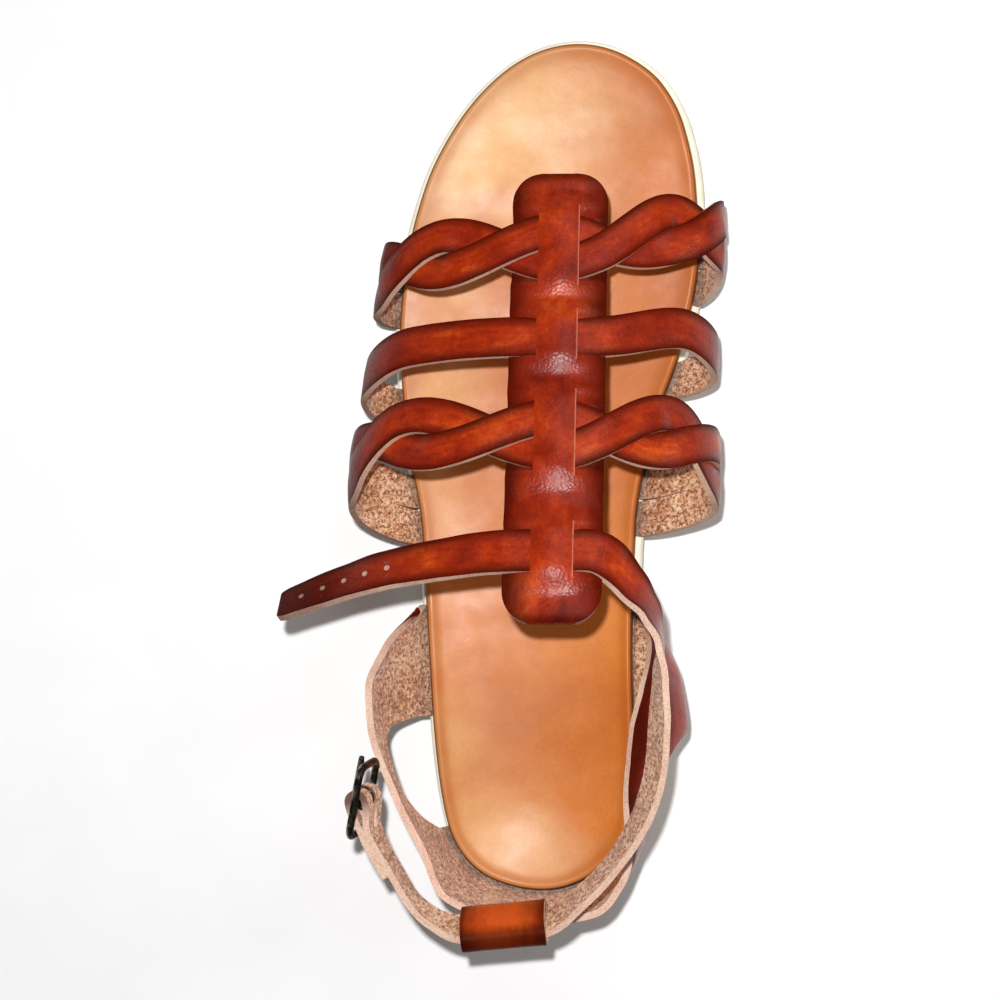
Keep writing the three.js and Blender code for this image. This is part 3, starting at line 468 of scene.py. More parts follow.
# Forms of the ankle strap and the buckle
class StrapPath:
    """Centripetal spline through the ankle strap's rows."""

    def __init__(self, points):
        self.points = points
        self.last = len(points) - 1
        steps = stations(0, self.last, 24 * self.last)
        self.rows = steps
        self.lengths = [0.0]
        for a, b in zip(steps, steps[1:]):
            self.lengths.append(self.lengths[-1] + (self.point(b) - self.point(a)).length)
        self.length = self.lengths[-1]

    def point(self, row):
        row = clamp(row, 0, self.last)
        i = min(int(row), self.last - 1)
        t = row - i
        p1, p2 = self.points[i], self.points[i + 1]
        p0 = self.points[i - 1] if i > 0 else p1 * 2 - p2
        p3 = self.points[i + 2] if i + 2 <= self.last else p2 * 2 - p1
        d0, d1, d2 = (math.sqrt((b - a).length) for a, b in ((p0, p1), (p1, p2), (p2, p3)))
        t1 = ((p1 - p0) / d0 - (p2 - p0) / (d0 + d1) + (p2 - p1) / d1) * d1
        t2 = ((p2 - p1) / d1 - (p3 - p1) / (d1 + d2) + (p3 - p2) / d2) * d1
        curl = (p1 - p2) * 2 + t1 + t2
        return p1 + t1 * t + ((p2 - p1) * 3 - t1 * 2 - t2) * t * t + curl * t * t * t

    def row_at(self, distance):
        distance = clamp(distance, 0, self.length)
        i = min(bisect.bisect_right(self.lengths, distance), len(self.rows) - 1)
        before, after = self.lengths[i - 1], self.lengths[i]
        return mix(self.rows[i - 1], self.rows[i], (distance - before) / (after - before))

    def frame(self, row):
        """Point, run along the strap, front edge across it and its smooth side's normal."""
        step = 0.0025
        ahead, behind = self.point(row + step), self.point(row - step)
        run = (ahead - behind).normalized()
        level = UP.cross(run).normalized()
        rise = run.cross(level)
        i = min(int(clamp(row, 0, self.last)), self.last - 1)
        blend = smoothstep(row - i, 0, 1)
        roll = math.radians(mix(ANKLE[i]["roll"], ANKLE[i + 1]["roll"], blend))
        across = level * math.cos(roll) + rise * math.sin(roll)
        return self.point(row), run, across, run.cross(across)


ankle_path = StrapPath([
    Vector((
        row["out"] * BALL_WIDTH,
        row["along"] * FOOTBED_LENGTH,
        row["instep"] * INSTEP_HEIGHT + row["counter"] * COUNTER_HEIGHT,
    ))
    for row in ANKLE
])
SLEEVE = WIRE / 2 + GAP + WALL / 2
PLY = 0.8


def buckle_matrix():
    """Axes at the middle of the buckle's bar: x ahead, y outward and z along the bar."""
    point, run, across, normal = ankle_path.frame(ankle_path.last)
    tilt = math.radians(FRAME_TILT)
    ahead = run * math.cos(tilt) - normal * math.sin(tilt)
    bar = -across
    out = bar.cross(ahead)
    matrix = Matrix((ahead, out, bar)).transposed().to_4x4()
    matrix.translation = point
    return matrix


# Meshes
def to_frame(point):
    """A point in the sandal's millimetres as a place in the frame, in metres."""
    return Vector((point.x, point.y - HEEL_REST, point.z)) * MM


def add_piece(name, points, faces, materials, body, node, places=None, kinds=None):
    """A mesh piece with its finish. A place holds millimetres along, a share across, a mark."""
    mesh = bpy.data.meshes.new(name)
    mesh.from_pydata([to_frame(p) for p in points], [], faces)
    for material in materials:
        mesh.materials.append(material)
    if places:
        attribute = mesh.attributes.new("place", "FLOAT_VECTOR", "POINT")
        attribute.data.foreach_set("vector", [value for place in places for value in place])
    if kinds:
        mesh.polygons.foreach_set("material_index", kinds)
    mesh.validate()
    mesh.shade_smooth()
    piece = bpy.data.objects.new(name, mesh)
    bpy.context.scene.collection.objects.link(piece)
    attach(piece, body)
    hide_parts(node)
    return piece


def grid_faces(rows, columns, closed=False, flipped=False):
    """Quads of a grid of points, row by row. Closed joins the last column to the first."""
    faces = []
    for k in range(rows - 1):
        for j in range(columns if closed else columns - 1):
            a, b = k * columns + j, k * columns + (j + 1) % columns
            face = (a, b, b + columns, a + columns)
            faces.append(tuple(reversed(face)) if flipped else face)
    return faces


def add_leather(name, points, faces, places, node, thickness=LEATHER, slots=None, kinds=None):
    """A leather sheet with its thickness and worn round edges."""
    piece = add_piece(
        name, points, faces, slots or LEATHERS, "root", node, places, kinds
    )
    wall = piece.modifiers.new("wall", "SOLIDIFY")
    wall.thickness = thickness * MM
    wall.offset = 0
    wall.use_even_offset = True
    wall.material_offset = 1
    wall.material_offset_rim = 2
    bevel = piece.modifiers.new("round edges", "BEVEL")
    bevel.width = WORN_EDGE * MM
    bevel.segments = 2
    bevel.limit_method = "ANGLE"
    bevel.angle_limit = math.radians(WORN_ANGLE)
    piece.modifiers.new("even shading", "WEIGHTED_NORMAL").keep_sharp = False


def soft_dents(point, amount):
    """A slow random height, so that no leather lies quite flat."""
    return amount * noise.noise(point * 0.09) + 0.4 * amount * noise.noise(point * 0.31)


# Materials
def srgb(red, green, blue):
    """A colour of 0 to 255 a channel as a linear one."""
    return tuple(((c / 255 + 0.055) / 1.055) ** 2.4 for c in (red, green, blue)) + (1,)


class Graph:
    """A material's nodes, with short ways to add them."""

    def __init__(self, name):
        self.material = bpy.data.materials.new(name)
        self.material.use_nodes = True
        self.tree = self.material.node_tree
        self.shader = self.tree.nodes["Principled BSDF"]

    def put(self, socket, value):
        if isinstance(value, bpy.types.NodeSocket):
            self.tree.links.new(value, socket)
        else:
            socket.default_value = value

    def node(self, kind, *values, **settings):
        """A node with its settings, and the values in its first inputs."""
        node = self.tree.nodes.new("ShaderNode" + kind)
        for name, value in settings.items():
            setattr(node, name, value)
        for socket, value in zip(node.inputs, values):
            self.put(socket, value)
        return node

    def fill(self, node, **values):
        """Puts values into a node's named inputs."""
        for name, value in values.items():
            self.put(node.inputs[name.replace("_", " ")], value)
        return node.outputs

    def place(self):
        """Millimetres along the piece, share across it and its mark, apart."""
        return self.split(self.node("Attribute", attribute_name="place").outputs["Vector"])

    def spot(self):
        """The place in the frame, in metres."""
        return self.node("TexCoord").outputs["Object"]

    def tall_spot(self):
        """The place in the frame with its height drawn out, for grains on upright walls."""
        x, y, z = self.split(self.spot())
        return self.node("CombineXYZ", x, y, self.math("MULTIPLY", z, 0.7)).outputs[0]

    def split(self, vector):
        return self.node("SeparateXYZ", vector).outputs

    def math(self, kind, a, b=0.0, clamped=False):
        return self.node("Math", a, b, operation=kind, use_clamp=clamped).outputs[0]

    def total(self, *shares):
        """Sum of values, each times its share."""
        first, *others = [self.math("MULTIPLY", value, share) for value, share in shares]
        for other in others:
            first = self.math("ADD", first, other)
        return first

    def span(self, value, low, high, start=0.0, end=1.0):
        node = self.node("MapRange", value, low, high, start, end, interpolation_type="SMOOTHSTEP")
        return node.outputs[0]

    def noise(self, vector, scale, detail=4.0, rough=0.5, bend=0.0):
        inputs = {"Vector": vector, "Scale": scale, "Detail": detail, "Roughness": rough}
        return self.fill(self.node("TexNoise"), Distortion=bend, **inputs)["Fac"]

    def cells(self, vector, scale):
        return self.fill(self.node("TexVoronoi"), Vector=vector, Scale=scale)["Distance"]

    def ramp(self, value, stops):
        node = self.node("ValToRGB", value)
        elements = node.color_ramp.elements
        while len(elements) < len(stops):
            elements.new(0.5)
        for element, (place, color) in zip(elements, stops):
            element.position = place
            element.color = color
        return node.outputs[0]

    def mix(self, share, a, b):
        node = self.node("Mix", share, data_type="RGBA")
        self.put(node.inputs[6], a)
        self.put(node.inputs[7], b)
        return node.outputs[2]

    def bump(self, height, depth, strength, below=None):
        node = self.node("Bump")
        if below is not None:
            self.put(node.inputs["Normal"], below)
        return self.fill(node, Strength=strength, Distance=depth * MM, Height=height)["Normal"]

    def finish(self, **values):
        self.fill(self.shader, **values)
        return self.material


def grain_leather(name, shift=0.0, grain=1.0):
    """Burnished cognac leather: clouded, with painted shade darkening it towards its edges and a
    duller shine there, with a fine grain.
    """
    g = Graph(name)
    along, across, painted_light = g.place()
    spot = g.spot()
    patina = g.noise(spot, 70, 4, 0.55, 0.3)
    fine = g.noise(spot, 650, 4, 0.65, 0.4)
    lines = g.node("CombineXYZ", g.math("MULTIPLY", along, 0.05), g.math("MULTIPLY", across, 1.3))
    streaks = g.noise(lines.outputs[0], 3, 4, 0.6, 0.5)
    tone = g.math("ADD", g.total((patina, 0.62), (streaks, 0.2), (fine, 0.18)), shift)
    color = g.ramp(tone, [
        (0.34, srgb(100, 18, 0)),
        (0.46, srgb(134, 30, 0)),
        (0.55, srgb(160, 44, 2)),
        (0.68, srgb(200, 80, 20)),
    ])
    edge = g.math("ABSOLUTE", across)
    # Painted shade: every piece darkens towards the edges of its share across, as where a strap
    # rounds off
    edge_shade = g.math("ADD", edge, g.span(patina, 0.3, 0.7, -0.15, 0.15))
    color = g.mix(g.span(edge_shade, 0.35, 1.08, 0, 0.9), color, srgb(52, 8, 3))
    # Painted shade: darker where the pieces' mark is high, at strap ends that turn away from the
    # light, in dips and round folds
    color = g.mix(g.math("MULTIPLY", painted_light, 0.95, clamped=True), color, srgb(46, 7, 3))
    # Painted highlight: paler where the mark is negative, along the centre band's medial slit edges
    color = g.mix(g.span(painted_light, -0.5, -0.9, 0, 0.7), color, srgb(196, 130, 104))
    pores = g.cells(spot, 1300)
    dots = g.span(g.noise(spot, 1900, 2, 0.5), 0.6, 0.72, 0, 0.5)
    color = g.mix(dots, color, srgb(80, 20, 10))
    creases = g.noise(spot, 240, 6, 0.7, 1.2)
    normal = g.bump(g.noise(spot, 45, 2, 0.5), 1.2, 0.35)
    normal = g.bump(creases, 0.13 * grain, 0.5, normal)
    normal = g.bump(pores, 0.1 * grain, 0.6, normal)
    rough = g.span(g.noise(spot, 140, 4), 0.3, 0.75, 0.27, 0.4)
    dull = g.math("MAXIMUM", g.span(edge, 0.5, 1.0), g.span(painted_light, 0.1, 0.7))
    shine = g.math("SUBTRACT", 0.24, g.math("MULTIPLY", dull, 0.22))
    return g.finish(Base_Color=color, Roughness=rough, Normal=normal, Specular_IOR_Level=shine)


def suede_leather(name):
    """The flesh side of the leather: pale, mottled, with dark specks and loose fibres."""
    g = Graph(name)
    spot = g.tall_spot()
    cloud = g.noise(spot, 110, 4, 0.6)
    mottle = g.noise(spot, 880, 3, 0.7)
    specks = g.noise(spot, 1350, 2, 0.6)
    color = g.ramp(g.total((cloud, 0.3), (mottle, 0.7)), [
        (0.38, srgb(160, 106, 74)),
        (0.47, srgb(204, 148, 110)),
        (0.53, srgb(230, 182, 144)),
        (0.62, srgb(246, 214, 182)),
    ])
    color = g.mix(g.span(specks, 0.51, 0.64, 0, 0.85), color, srgb(104, 58, 38))
    normal = g.bump(mottle, 0.4, 0.8)
    normal = g.bump(specks, 0.25, 0.7, normal)
    return g.finish(Base_Color=color, Roughness=0.95, Normal=normal, Specular_IOR_Level=0.2,
                    Sheen_Weight=0.2, Sheen_Roughness=0.5)


def cut_edge(name):
    """The leather's raw cut edge: pale pink, with fibres along it, and painted shade where its
    piece's mark is high.
    """
    g = Graph(name)
    spot = g.tall_spot()
    fibre = g.noise(spot, 2200, 3, 0.6)
    cloud = g.noise(spot, 160, 3, 0.5)
    color = g.ramp(g.total((fibre, 0.7), (cloud, 0.3)), [
        (0.36, srgb(190, 148, 126)),
        (0.48, srgb(212, 174, 152)),
        (0.62, srgb(228, 196, 176)),
    ])
    painted_light = g.place()[2]
    # Painted shade: the cut edge darkens with the same mark as the grain side
    color = g.mix(g.math("MULTIPLY", painted_light, 0.8, clamped=True), color, srgb(80, 40, 26))
    normal = g.bump(fibre, 0.15, 0.7)
    return g.finish(Base_Color=color, Roughness=0.8, Normal=normal, Specular_IOR_Level=0.3)


def footbed_leather():
    """Smooth tan moulded leather with soft creases, golden and darker on the medial side as painted
    shade, and paler at the toe, the heel and the lateral side as a painted highlight.
    """
    g = Graph("footbed tan")
    _, across, rim = g.place()
    spot = g.spot()
    x, y, _ = g.split(spot)
    cloud = g.noise(spot, 22, 4, 0.55, 0.4)
    mottle = g.noise(spot, 150, 4, 0.6, 0.3)
    fine = g.noise(spot, 1100, 3, 0.6)
    tone = g.total((cloud, 0.75), (mottle, 0.25))
    tone = g.math("ADD", tone, g.span(fine, 0.3, 0.7, -0.025, 0.025))
    drift = g.span(cloud, 0.3, 0.7, -0.012, 0.012)
    inner, far = g.math("ADD", x, drift), g.math("ADD", y, drift)
    # Painted shade: golden and darker towards the medial side, away from the light
    medial_shade = g.span(inner, -0.014, 0.034)
    # Painted highlight: paler at the toe, the heel and the lateral side, where the light reflects
    painted_sheen = g.math("MAXIMUM", g.span(far, 0.128, 0.172), g.span(far, 0.012, -0.022, 0, 0.8))
    painted_sheen = g.math("MAXIMUM", painted_sheen, g.span(inner, -0.012, -0.034, 0, 0.7))
    # Tans for the leather, for its painted shade on the medial side and for its painted highlight
    shades = (
        (srgb(178, 98, 42), srgb(194, 114, 54), srgb(208, 130, 68)),
        (srgb(172, 88, 24), srgb(192, 106, 34), srgb(208, 126, 52)),
        (srgb(208, 150, 92), srgb(224, 172, 114), srgb(234, 190, 138)),
    )
    base, golden, pale = (g.ramp(tone, list(zip((0.32, 0.5, 0.68), row))) for row in shades)
    color = g.mix(medial_shade, base, golden)
    # The painted highlight's pale tan, kept off the medial side
    color = g.mix(g.math("MULTIPLY", painted_sheen, g.math("SUBTRACT", 1.0, medial_shade)), color, pale)
    border = g.math("MULTIPLY", g.span(across, 0.24, 0.02), 0.5)
    color = g.mix(border, color, srgb(170, 90, 30))
    color = g.mix(g.span(rim, 0.3, 0.9, 0, 0.85), color, srgb(98, 56, 32))
    normal = g.bump(g.noise(spot, 34, 3, 0.5), 1.1, 0.35)
    normal = g.bump(mottle, 0.12, 0.35, normal)
    normal = g.bump(fine, 0.03, 0.4, normal)
    rough = g.span(g.noise(spot, 60, 4), 0.3, 0.7, 0.3, 0.44)
    return g.finish(Base_Color=color, Roughness=rough, Normal=normal, Specular_IOR_Level=0.2)


def foam():
    """Cream midsole foam, pebbled, greyer at its lower edge, partly soiled and partly painted shade.
    """
    g = Graph("cream foam")
    level = g.place()[2]
    spot = g.spot()
    pebble = g.cells(spot, 800)
    cloud = g.noise(spot, 90, 5, 0.6)
    color = g.ramp(cloud, [(0.3, srgb(240, 228, 202)), (0.7, srgb(251, 244, 222))])
    # Soiling and painted shade: greyer towards the foam's lower edge, where it meets the outsole
    dirt_and_shade = g.math("ADD", level, g.span(g.noise(spot, 260, 4), 0.3, 0.7, -0.2, 0.2))
    color = g.mix(g.span(dirt_and_shade, 0.45, -0.25, 0, 0.5), color, srgb(150, 150, 138))
    normal = g.bump(pebble, 0.12, 0.5)
    return g.finish(Base_Color=color, Roughness=0.62, Normal=normal, Specular_IOR_Level=0.35)


def rubber():
    g = Graph("grey rubber")
    spot = g.spot()
    cloud = g.noise(spot, 130, 5, 0.6)
    color = g.ramp(cloud, [(0.3, srgb(132, 128, 116)), (0.7, srgb(164, 160, 146))])
    scuff = g.noise(spot, 900, 4, 0.7)
    color = g.mix(g.span(scuff, 0.62, 0.75, 0, 0.4), color, srgb(90, 86, 78))
    normal = g.bump(scuff, 0.12, 0.6)
    return g.finish(Base_Color=color, Roughness=0.85, Normal=normal, Specular_IOR_Level=0.25)


def antique_metal():
    """Dark bronze, rubbed bright on the outside of its wires."""
    g = Graph("antique bronze")
    wear = g.place()[2]
    spot = g.spot()
    cloud = g.noise(spot, 420, 5, 0.65, 0.4)
    color = g.ramp(cloud, [
        (0.35, srgb(30, 27, 24)),
        (0.55, srgb(48, 43, 37)),
        (0.7, srgb(74, 66, 54)),
    ])
    rubbed = g.math("ADD", wear, g.span(cloud, 0.35, 0.65, -0.25, 0.25))
    color = g.mix(g.span(rubbed, 0.8, 1.15, 0, 0.7), color, srgb(168, 156, 134))
    rough = g.span(g.noise(spot, 700, 4), 0.3, 0.7, 0.26, 0.5)
    normal = g.bump(cloud, 0.08, 0.5)
    return g.finish(Base_Color=color, Roughness=rough, Metallic=0.95, Normal=normal)


def waxed_thread():
    g = Graph("waxed thread")
    fibre = g.noise(g.spot(), 2600, 3)
    color = g.ramp(fibre, [(0.35, srgb(116, 70, 44)), (0.65, srgb(186, 132, 96))])
    return g.finish(Base_Color=color, Roughness=0.6, Normal=g.bump(fibre, 0.06, 0.5))


GRAIN = grain_leather("cognac leather")
# A copy of the leather painted lighter, as where light falls on the heel's loop, with a finer grain
LIT_LOOP_GRAIN = grain_leather("cognac leather painted lighter", 0.16, 0.3)
SUEDE = suede_leather("suede inside")
EDGE = cut_edge("pale cut edge")
LEATHERS = [GRAIN, SUEDE, EDGE]
FOOTBED = footbed_leather()
FOAM = foam()
RUBBER = rubber()
METAL = antique_metal()
THREAD = waxed_thread()


# Sole pieces. The run is about the outline's length, and the sole's edge is how far in and up
OUTLINE_STEPS = 130
OUTLINE_RUN = 500
RIM_RADIUS = 1.4
GROOVE_WALL = 0.15
SOLE_COLUMNS = 46
SOLE_EDGE = ((0, 1.9), (0, 0.9), (0.25, 0.3), (0.9, 0))
AXIS_ENDS = (0.12 * FOOTBED_LENGTH, 0.82 * FOOTBED_LENGTH)


def loop_point(index, out, share, height):
    turn = math.pi * (index / OUTLINE_STEPS - 1)
    edge = outline_point(turn) + outline_normal(turn) * out
    y = clamp(edge.y, *AXIS_ENDS)
    across = turn_at(y / FOOTBED_LENGTH)
    axis = Vector(((outline_point(-across).x + outline_point(across).x) / 2, y, 0))
    point = edge.lerp(axis, share)
    point.z = height(point.y, share)
    return point


def add_layer(name, levels, materials, node):
    """A sole layer through loops (out, share, height and mark) round the outline."""
    count = 2 * OUTLINE_STEPS
    points, places = [], []
    for out, share, height, mark in levels:
        for i in range(count):
            points.append(loop_point(i, out, share, height))
            places.append((i * OUTLINE_RUN / count, share, mark))
    faces = grid_faces(len(levels), count, closed=True)
    add_piece(name, points, faces, materials, "root", node, places)


def bowl(y, share):
    """The footbed's surface, from its raised rim down to its middle."""
    return footbed_top(y) + rim_height(y) * (1 - share) ** 2


def rim_profile(radius, steps):
    """Loops round the top of the footbed's side: how far in and how far below its rim."""
    angles = stations(0, math.pi / 2, steps)
    return [(radius * (1 - math.cos(a)), radius * (1 - math.sin(a))) for a in angles]


def make_footbed():
    levels = [
        (-12, 0, lambda y, s: footbed_bottom(y), 1),
        (-1.2, 0, lambda y, s: footbed_bottom(y), 1),
        (-0.4, 0, lambda y, s: footbed_bottom(y) + 0.25, 1),
        (0, 0, lambda y, s: footbed_bottom(y) + 1, 1),
        (0, 0, lambda y, s: bowl(y, 0) - 2.0, 1),
    ]
    for inward, below in rim_profile(RIM_RADIUS, 7):
        mark = 1 - smoothstep(inward, 0.1, 1.1)
        levels.append((-inward, 0, lambda y, s, b=below: bowl(y, 0) - b, mark))
    levels.append((-2.0, 0, lambda y, s: bowl(y, 0.05) + 0.02, 0))
    for share in stations(0.13, 1, 34):
        levels.append((0, share, bowl, 0))
    add_layer("footbed_moulded", levels, [FOOTBED], "footbed")


def make_midsole():
    """The foam, wider than the footbed: how far out, how far up and its mark."""
    def at(share):
        return lambda y, s: mix(midsole_bottom(y), footbed_bottom(y) - GAP, share)

    rows = [(-9, 0, 0), (1.0, 0, 0), (1.35, 0.05, 0.0), (1.7, 0.15, 0.12), (2.0, 0.38, 0.4),
            (2.0, 0.55, 0.6), (1.9, 0.7, 0.8), (1.72, 0.85, 1), (1.4, 0.95, 1), (0.9, 1, 1),
            (-9, 1, 1)]
    levels = [(out, 0, at(share), mark) for out, share, mark in rows]
    add_layer("midsole_foam", levels, [FOAM], "midsole")


def groove_depth(y, x, left, right):
    """Depth of the tread's cross grooves, none round the two flat resting spots."""
    nearest = GROOVE_PITCH * round(y / GROOVE_PITCH)
    resting = any(abs(nearest - rest) < GROOVE_PITCH for rest in (HEEL_REST, FOREFOOT_REST))
    if resting or not GROOVE_PITCH <= nearest < 0.96 * FOOTBED_LENGTH:
        return 0
    inside = min(x - left, right - x) - GROOVE_INSET
    half = GROOVE_WIDTH / 2
    return GROOVE_DEPTH * smoothstep(half - abs(y - nearest), 0, 0.25) * smoothstep(inside, 0, 0.5)


def sole_edge(edge, other, profile):
    """Points round the sole's lower edge on one side, by how far in and how high they lie."""
    inward = (other - edge).normalized()
    points = []
    for reach, height in profile:
        point = edge + inward * reach
        point.z = floor_lift(point.y) + height
        points.append(point)
    return points


def sole_turns():
    """Where the sole's rings lie, with some at both walls of every groove."""
    turns = stations(0, math.pi, 200)
    half = GROOVE_WIDTH / 2
    for i in range(1, int(FOOTBED_LENGTH / GROOVE_PITCH) + 1):
        for edge in (-half, GROOVE_WALL - half, half - GROOVE_WALL, half):
            turns.append(turn_at((i * GROOVE_PITCH + edge) / FOOTBED_LENGTH))
    return sorted(turns)


def sole_ring(left, right):
    """A ring across the sole: its top, its right side, its grooved underside, its left side."""
    ring = []
    for i in range(SOLE_COLUMNS + 1):
        point = left.lerp(right, i / SOLE_COLUMNS)
        point.z = floor_lift(point.y) + OUTSOLE_THICKNESS
        ring.append(point)
    ring += sole_edge(right, left, SOLE_EDGE)
    inset = SOLE_EDGE[-1][0]
    width = max(right.x - left.x - 2 * inset, 0)
    for i in range(SOLE_COLUMNS - 1, 0, -1):
        x = left.x + inset + width * i / SOLE_COLUMNS
        y = mix(left.y, right.y, i / SOLE_COLUMNS)
        ring.append(Vector((x, y, floor_lift(y) + groove_depth(y, x, left.x, right.x))))
    return ring + sole_edge(left, right, SOLE_EDGE[::-1])


def make_outsole():
    out = MIDSOLE_FLARE * 0.6
    rings = []
    for turn in sole_turns():
        left = outline_point(-turn) + outline_normal(-turn) * out
        right = outline_point(turn) + outline_normal(turn) * out
        rings.append(sole_ring(right.copy() if turn == 0 else left, right))
    faces = grid_faces(len(rings), len(rings[0]), closed=True)
    points = [point for ring in rings for point in ring]
    piece = add_piece("outsole_tread", points, faces, [RUBBER], "root", "outsole")
    split = piece.modifiers.new("sharp grooves", "EDGE_SPLIT")
    split.split_angle = math.radians(40)


# Leather pieces
STRAP_COLUMNS = stations(-1, 1, 10)


def around_stations():
    side = stations(0, 1, 66)[1:] + stations(1, 2, 30)[1:] + stations(2, 2.8, 14)[1:]
    return [-a for a in reversed(side)] + [0] + side


def make_cross_strap(name, strap, width):
    route, lift = strap
    points, places = [], []
    length = 0
    before = None
    for around in around_stations():
        row, normal = strap_row(route, around, width, STRAP_COLUMNS)
        middle = row[len(row) // 2]
        length += (middle - before).length if before else 0
        before = middle
        for t, point in zip(STRAP_COLUMNS, row):
            height = lift(around, t) + soft_dents(point, 0.15) - STRAP_CROWN * t * t
            points.append(point + normal * height)
            # Painted shade: the strap darkens towards its ends, more on the lateral side, where it
            # turns down away from the light
            painted_light = smoothstep(abs(around), 0.5, 1.1) * (0.85 if around < 0 else 0.35)
            places.append((length, t, painted_light))
    rows = len(points) // len(STRAP_COLUMNS)
    faces = grid_faces(rows, len(STRAP_COLUMNS), flipped=True)
    add_leather(name, points, faces, places, "upper")


def make_cross_straps():
    for row in ROWS:
        if row["twisted"]:
            make_cross_strap(row["name"] + "_strand_a", twisted_strand(row, 1), STRAND_WIDTH)
            make_cross_strap(row["name"] + "_strand_b", twisted_strand(row, -1), STRAND_WIDTH)
        else:
            make_cross_strap(row["name"] + "_strap", plain_strap(row), STRAP_WIDTH)


def spine_slits():
    """Slits of the centre strap: station, half length, and how far what runs through lifts it."""
    slits = []
    for row in ROWS:
        width = 2 * STRAND_WIDTH if row["twisted"] else STRAP_WIDTH
        slits.append((row["slit"] * FOOTBED_LENGTH, width / 2 + SLIT_MARGIN, 1.7))
    ankle = ANKLE_STRAP_WIDTH / 2 + SLIT_MARGIN
    return slits + [(ANKLE_SLIT * FOOTBED_LENGTH, ankle, 2.0)]


SLITS = spine_slits()


def band_rise(y):
    """How far the centre strap's middle rises over what runs through its slits."""
    return max(
        rise * (1 - smoothstep(abs(y - middle), half - 3.4, half + 4.6))
        for middle, half, rise in SLITS
    )


def margin_rise(y, share):
    """Height of the strap's margins: they sink under the straps between a slit's ends."""
    level = band_rise(y) * (1 - 0.75 * share)
    for middle, half, rise in SLITS:
        inside = half - abs(y - middle)
        if inside > 0:
            level = mix(level, -rise, smoothstep(inside, 0, 3.8))
    return level


def inside_slit(y):
    return any(abs(y - middle) < half - 0.01 for middle, half, _ in SLITS)


def spine_half(y):
    rear, front = SPINE_ENDS
    past = max(SPINE_CORNER - min(y - rear, front - y), 0)
    return SPINE_WIDTH / 2 - SPINE_CORNER + math.sqrt(max(SPINE_CORNER ** 2 - past ** 2, 0))


def spine_stations():
    rear, front = SPINE_ENDS
    marks = stations(rear + SPINE_CORNER, front - SPINE_CORNER, 120)
    for angle in stations(0, math.pi / 2, 12)[:-1]:
        reach = SPINE_CORNER * (1 - math.cos(angle))
        marks += [rear + reach, front - reach]
    marks = [y for y in marks if all(abs(abs(y - m) - h) > 0.3 for m, h, _ in SLITS)]
    marks += [middle + sign * half for middle, half, _ in SLITS for sign in (-1, 1)]
    return sorted(marks)


def spine_point(y, x, rise):
    slope = (ridge_height(y + 1) - ridge_height(y - 1)) / 2
    normal = Vector((0, -slope, 1)).normalized()
    drop = SPINE_CROWN * (2 * x / SPINE_WIDTH) ** 2
    point = Vector((SPINE_X + x, y, ridge_height(y) - drop))
    return point + normal * (rise + soft_dents(point, 0.2))


def make_spine():
    """One sheet with eight slits: its middle band rises over the straps, its margins sink."""
    marks = spine_stations()
    points, places, faces = [], [], []
    index = {}

    def vertex(k, column, part):
        y = marks[k]
        shared = abs(column) == 1 and not inside_slit(y)
        key = (k, column, 0 if shared else part)
        if key not in index:
            half = spine_half(y)
            seam = SLIT_SPACING / 2 * min(1, half / 7)
            share = max(abs(column) - 1, 0)
            x = column * seam if share == 0 else math.copysign(mix(seam, half, share), column)
            bulge = 0.3 * band_rise(y) * (1 - min(abs(column), 1) ** 2)
            rise = band_rise(y) + bulge if part > 0 else margin_rise(y, share)
            ends = min(y - marks[0], marks[-1] - y)
            index[key] = len(points)
            points.append(spine_point(y, x, rise))
            # Painted shade near the strap's two ends and where its margins sink under the straps
            painted_light = 0.8 * (1 - smoothstep(ends, 0, 4)) + 0.3 * smoothstep(-rise, 0, 1.5)
            # Painted highlight along the middle band's medial edge inside each slit
            if part > 0 and not shared and column == 1:
                painted_light = -0.9
            places.append((y, clamp(x / (SPINE_WIDTH / 2), -1, 1), painted_light))
        return index[key]

    bands = [(stations(-2, -1, 6), -1), (stations(-1, 1, 10), 1), (stations(1, 2, 6), -1)]
    for columns, part in bands:
        for k in range(len(marks) - 1):
            for a, b in zip(columns, columns[1:]):
                faces.append((
                    vertex(k, a, part), vertex(k, b, part),
                    vertex(k + 1, b, part), vertex(k + 1, a, part),
                ))
    add_leather("centre_strap", points, faces, places, "upper")


def opening_top(turn, along):
    """Share of the counter's height at the upper edge of its side opening."""
    return counter_height_at(turn, OPENING(along) * COUNTER_HEIGHT)


def counter_columns():
    """Turns across the counter, each with the share of height where its upper grid starts."""
    near, far = OPENING_ENDS
    front, rear = turn_at(far), turn_at(near)
    front_start, rear_start = opening_top(-front, far), opening_top(-rear, near)
    half, middle = (far - near) / 2, (far + near) / 2
    wing = [(turn, front_start, True) for turn in stations(-COUNTER_TURN, -front, 40)]
    arch = []
    for share in stations(0, math.pi, 44)[1:-1]:
        along = middle + half * math.cos(share)
        turn = -turn_at(along)
        arch.append((turn, opening_top(turn, along), False))
    back = [(turn, rear_start, True) for turn in stations(-rear, rear, 90)]
    mirror = [(-turn, start, lower) for turn, start, lower in reversed(wing + arch)]
    return wing + arch + back + mirror


COUNTER_ROWS = (20, 26)  # below and above the side openings' upper edge
COUNTER_TUCK = 0.8
COUNTER_RUN = 40  # about the millimetres along it in one radian of turn


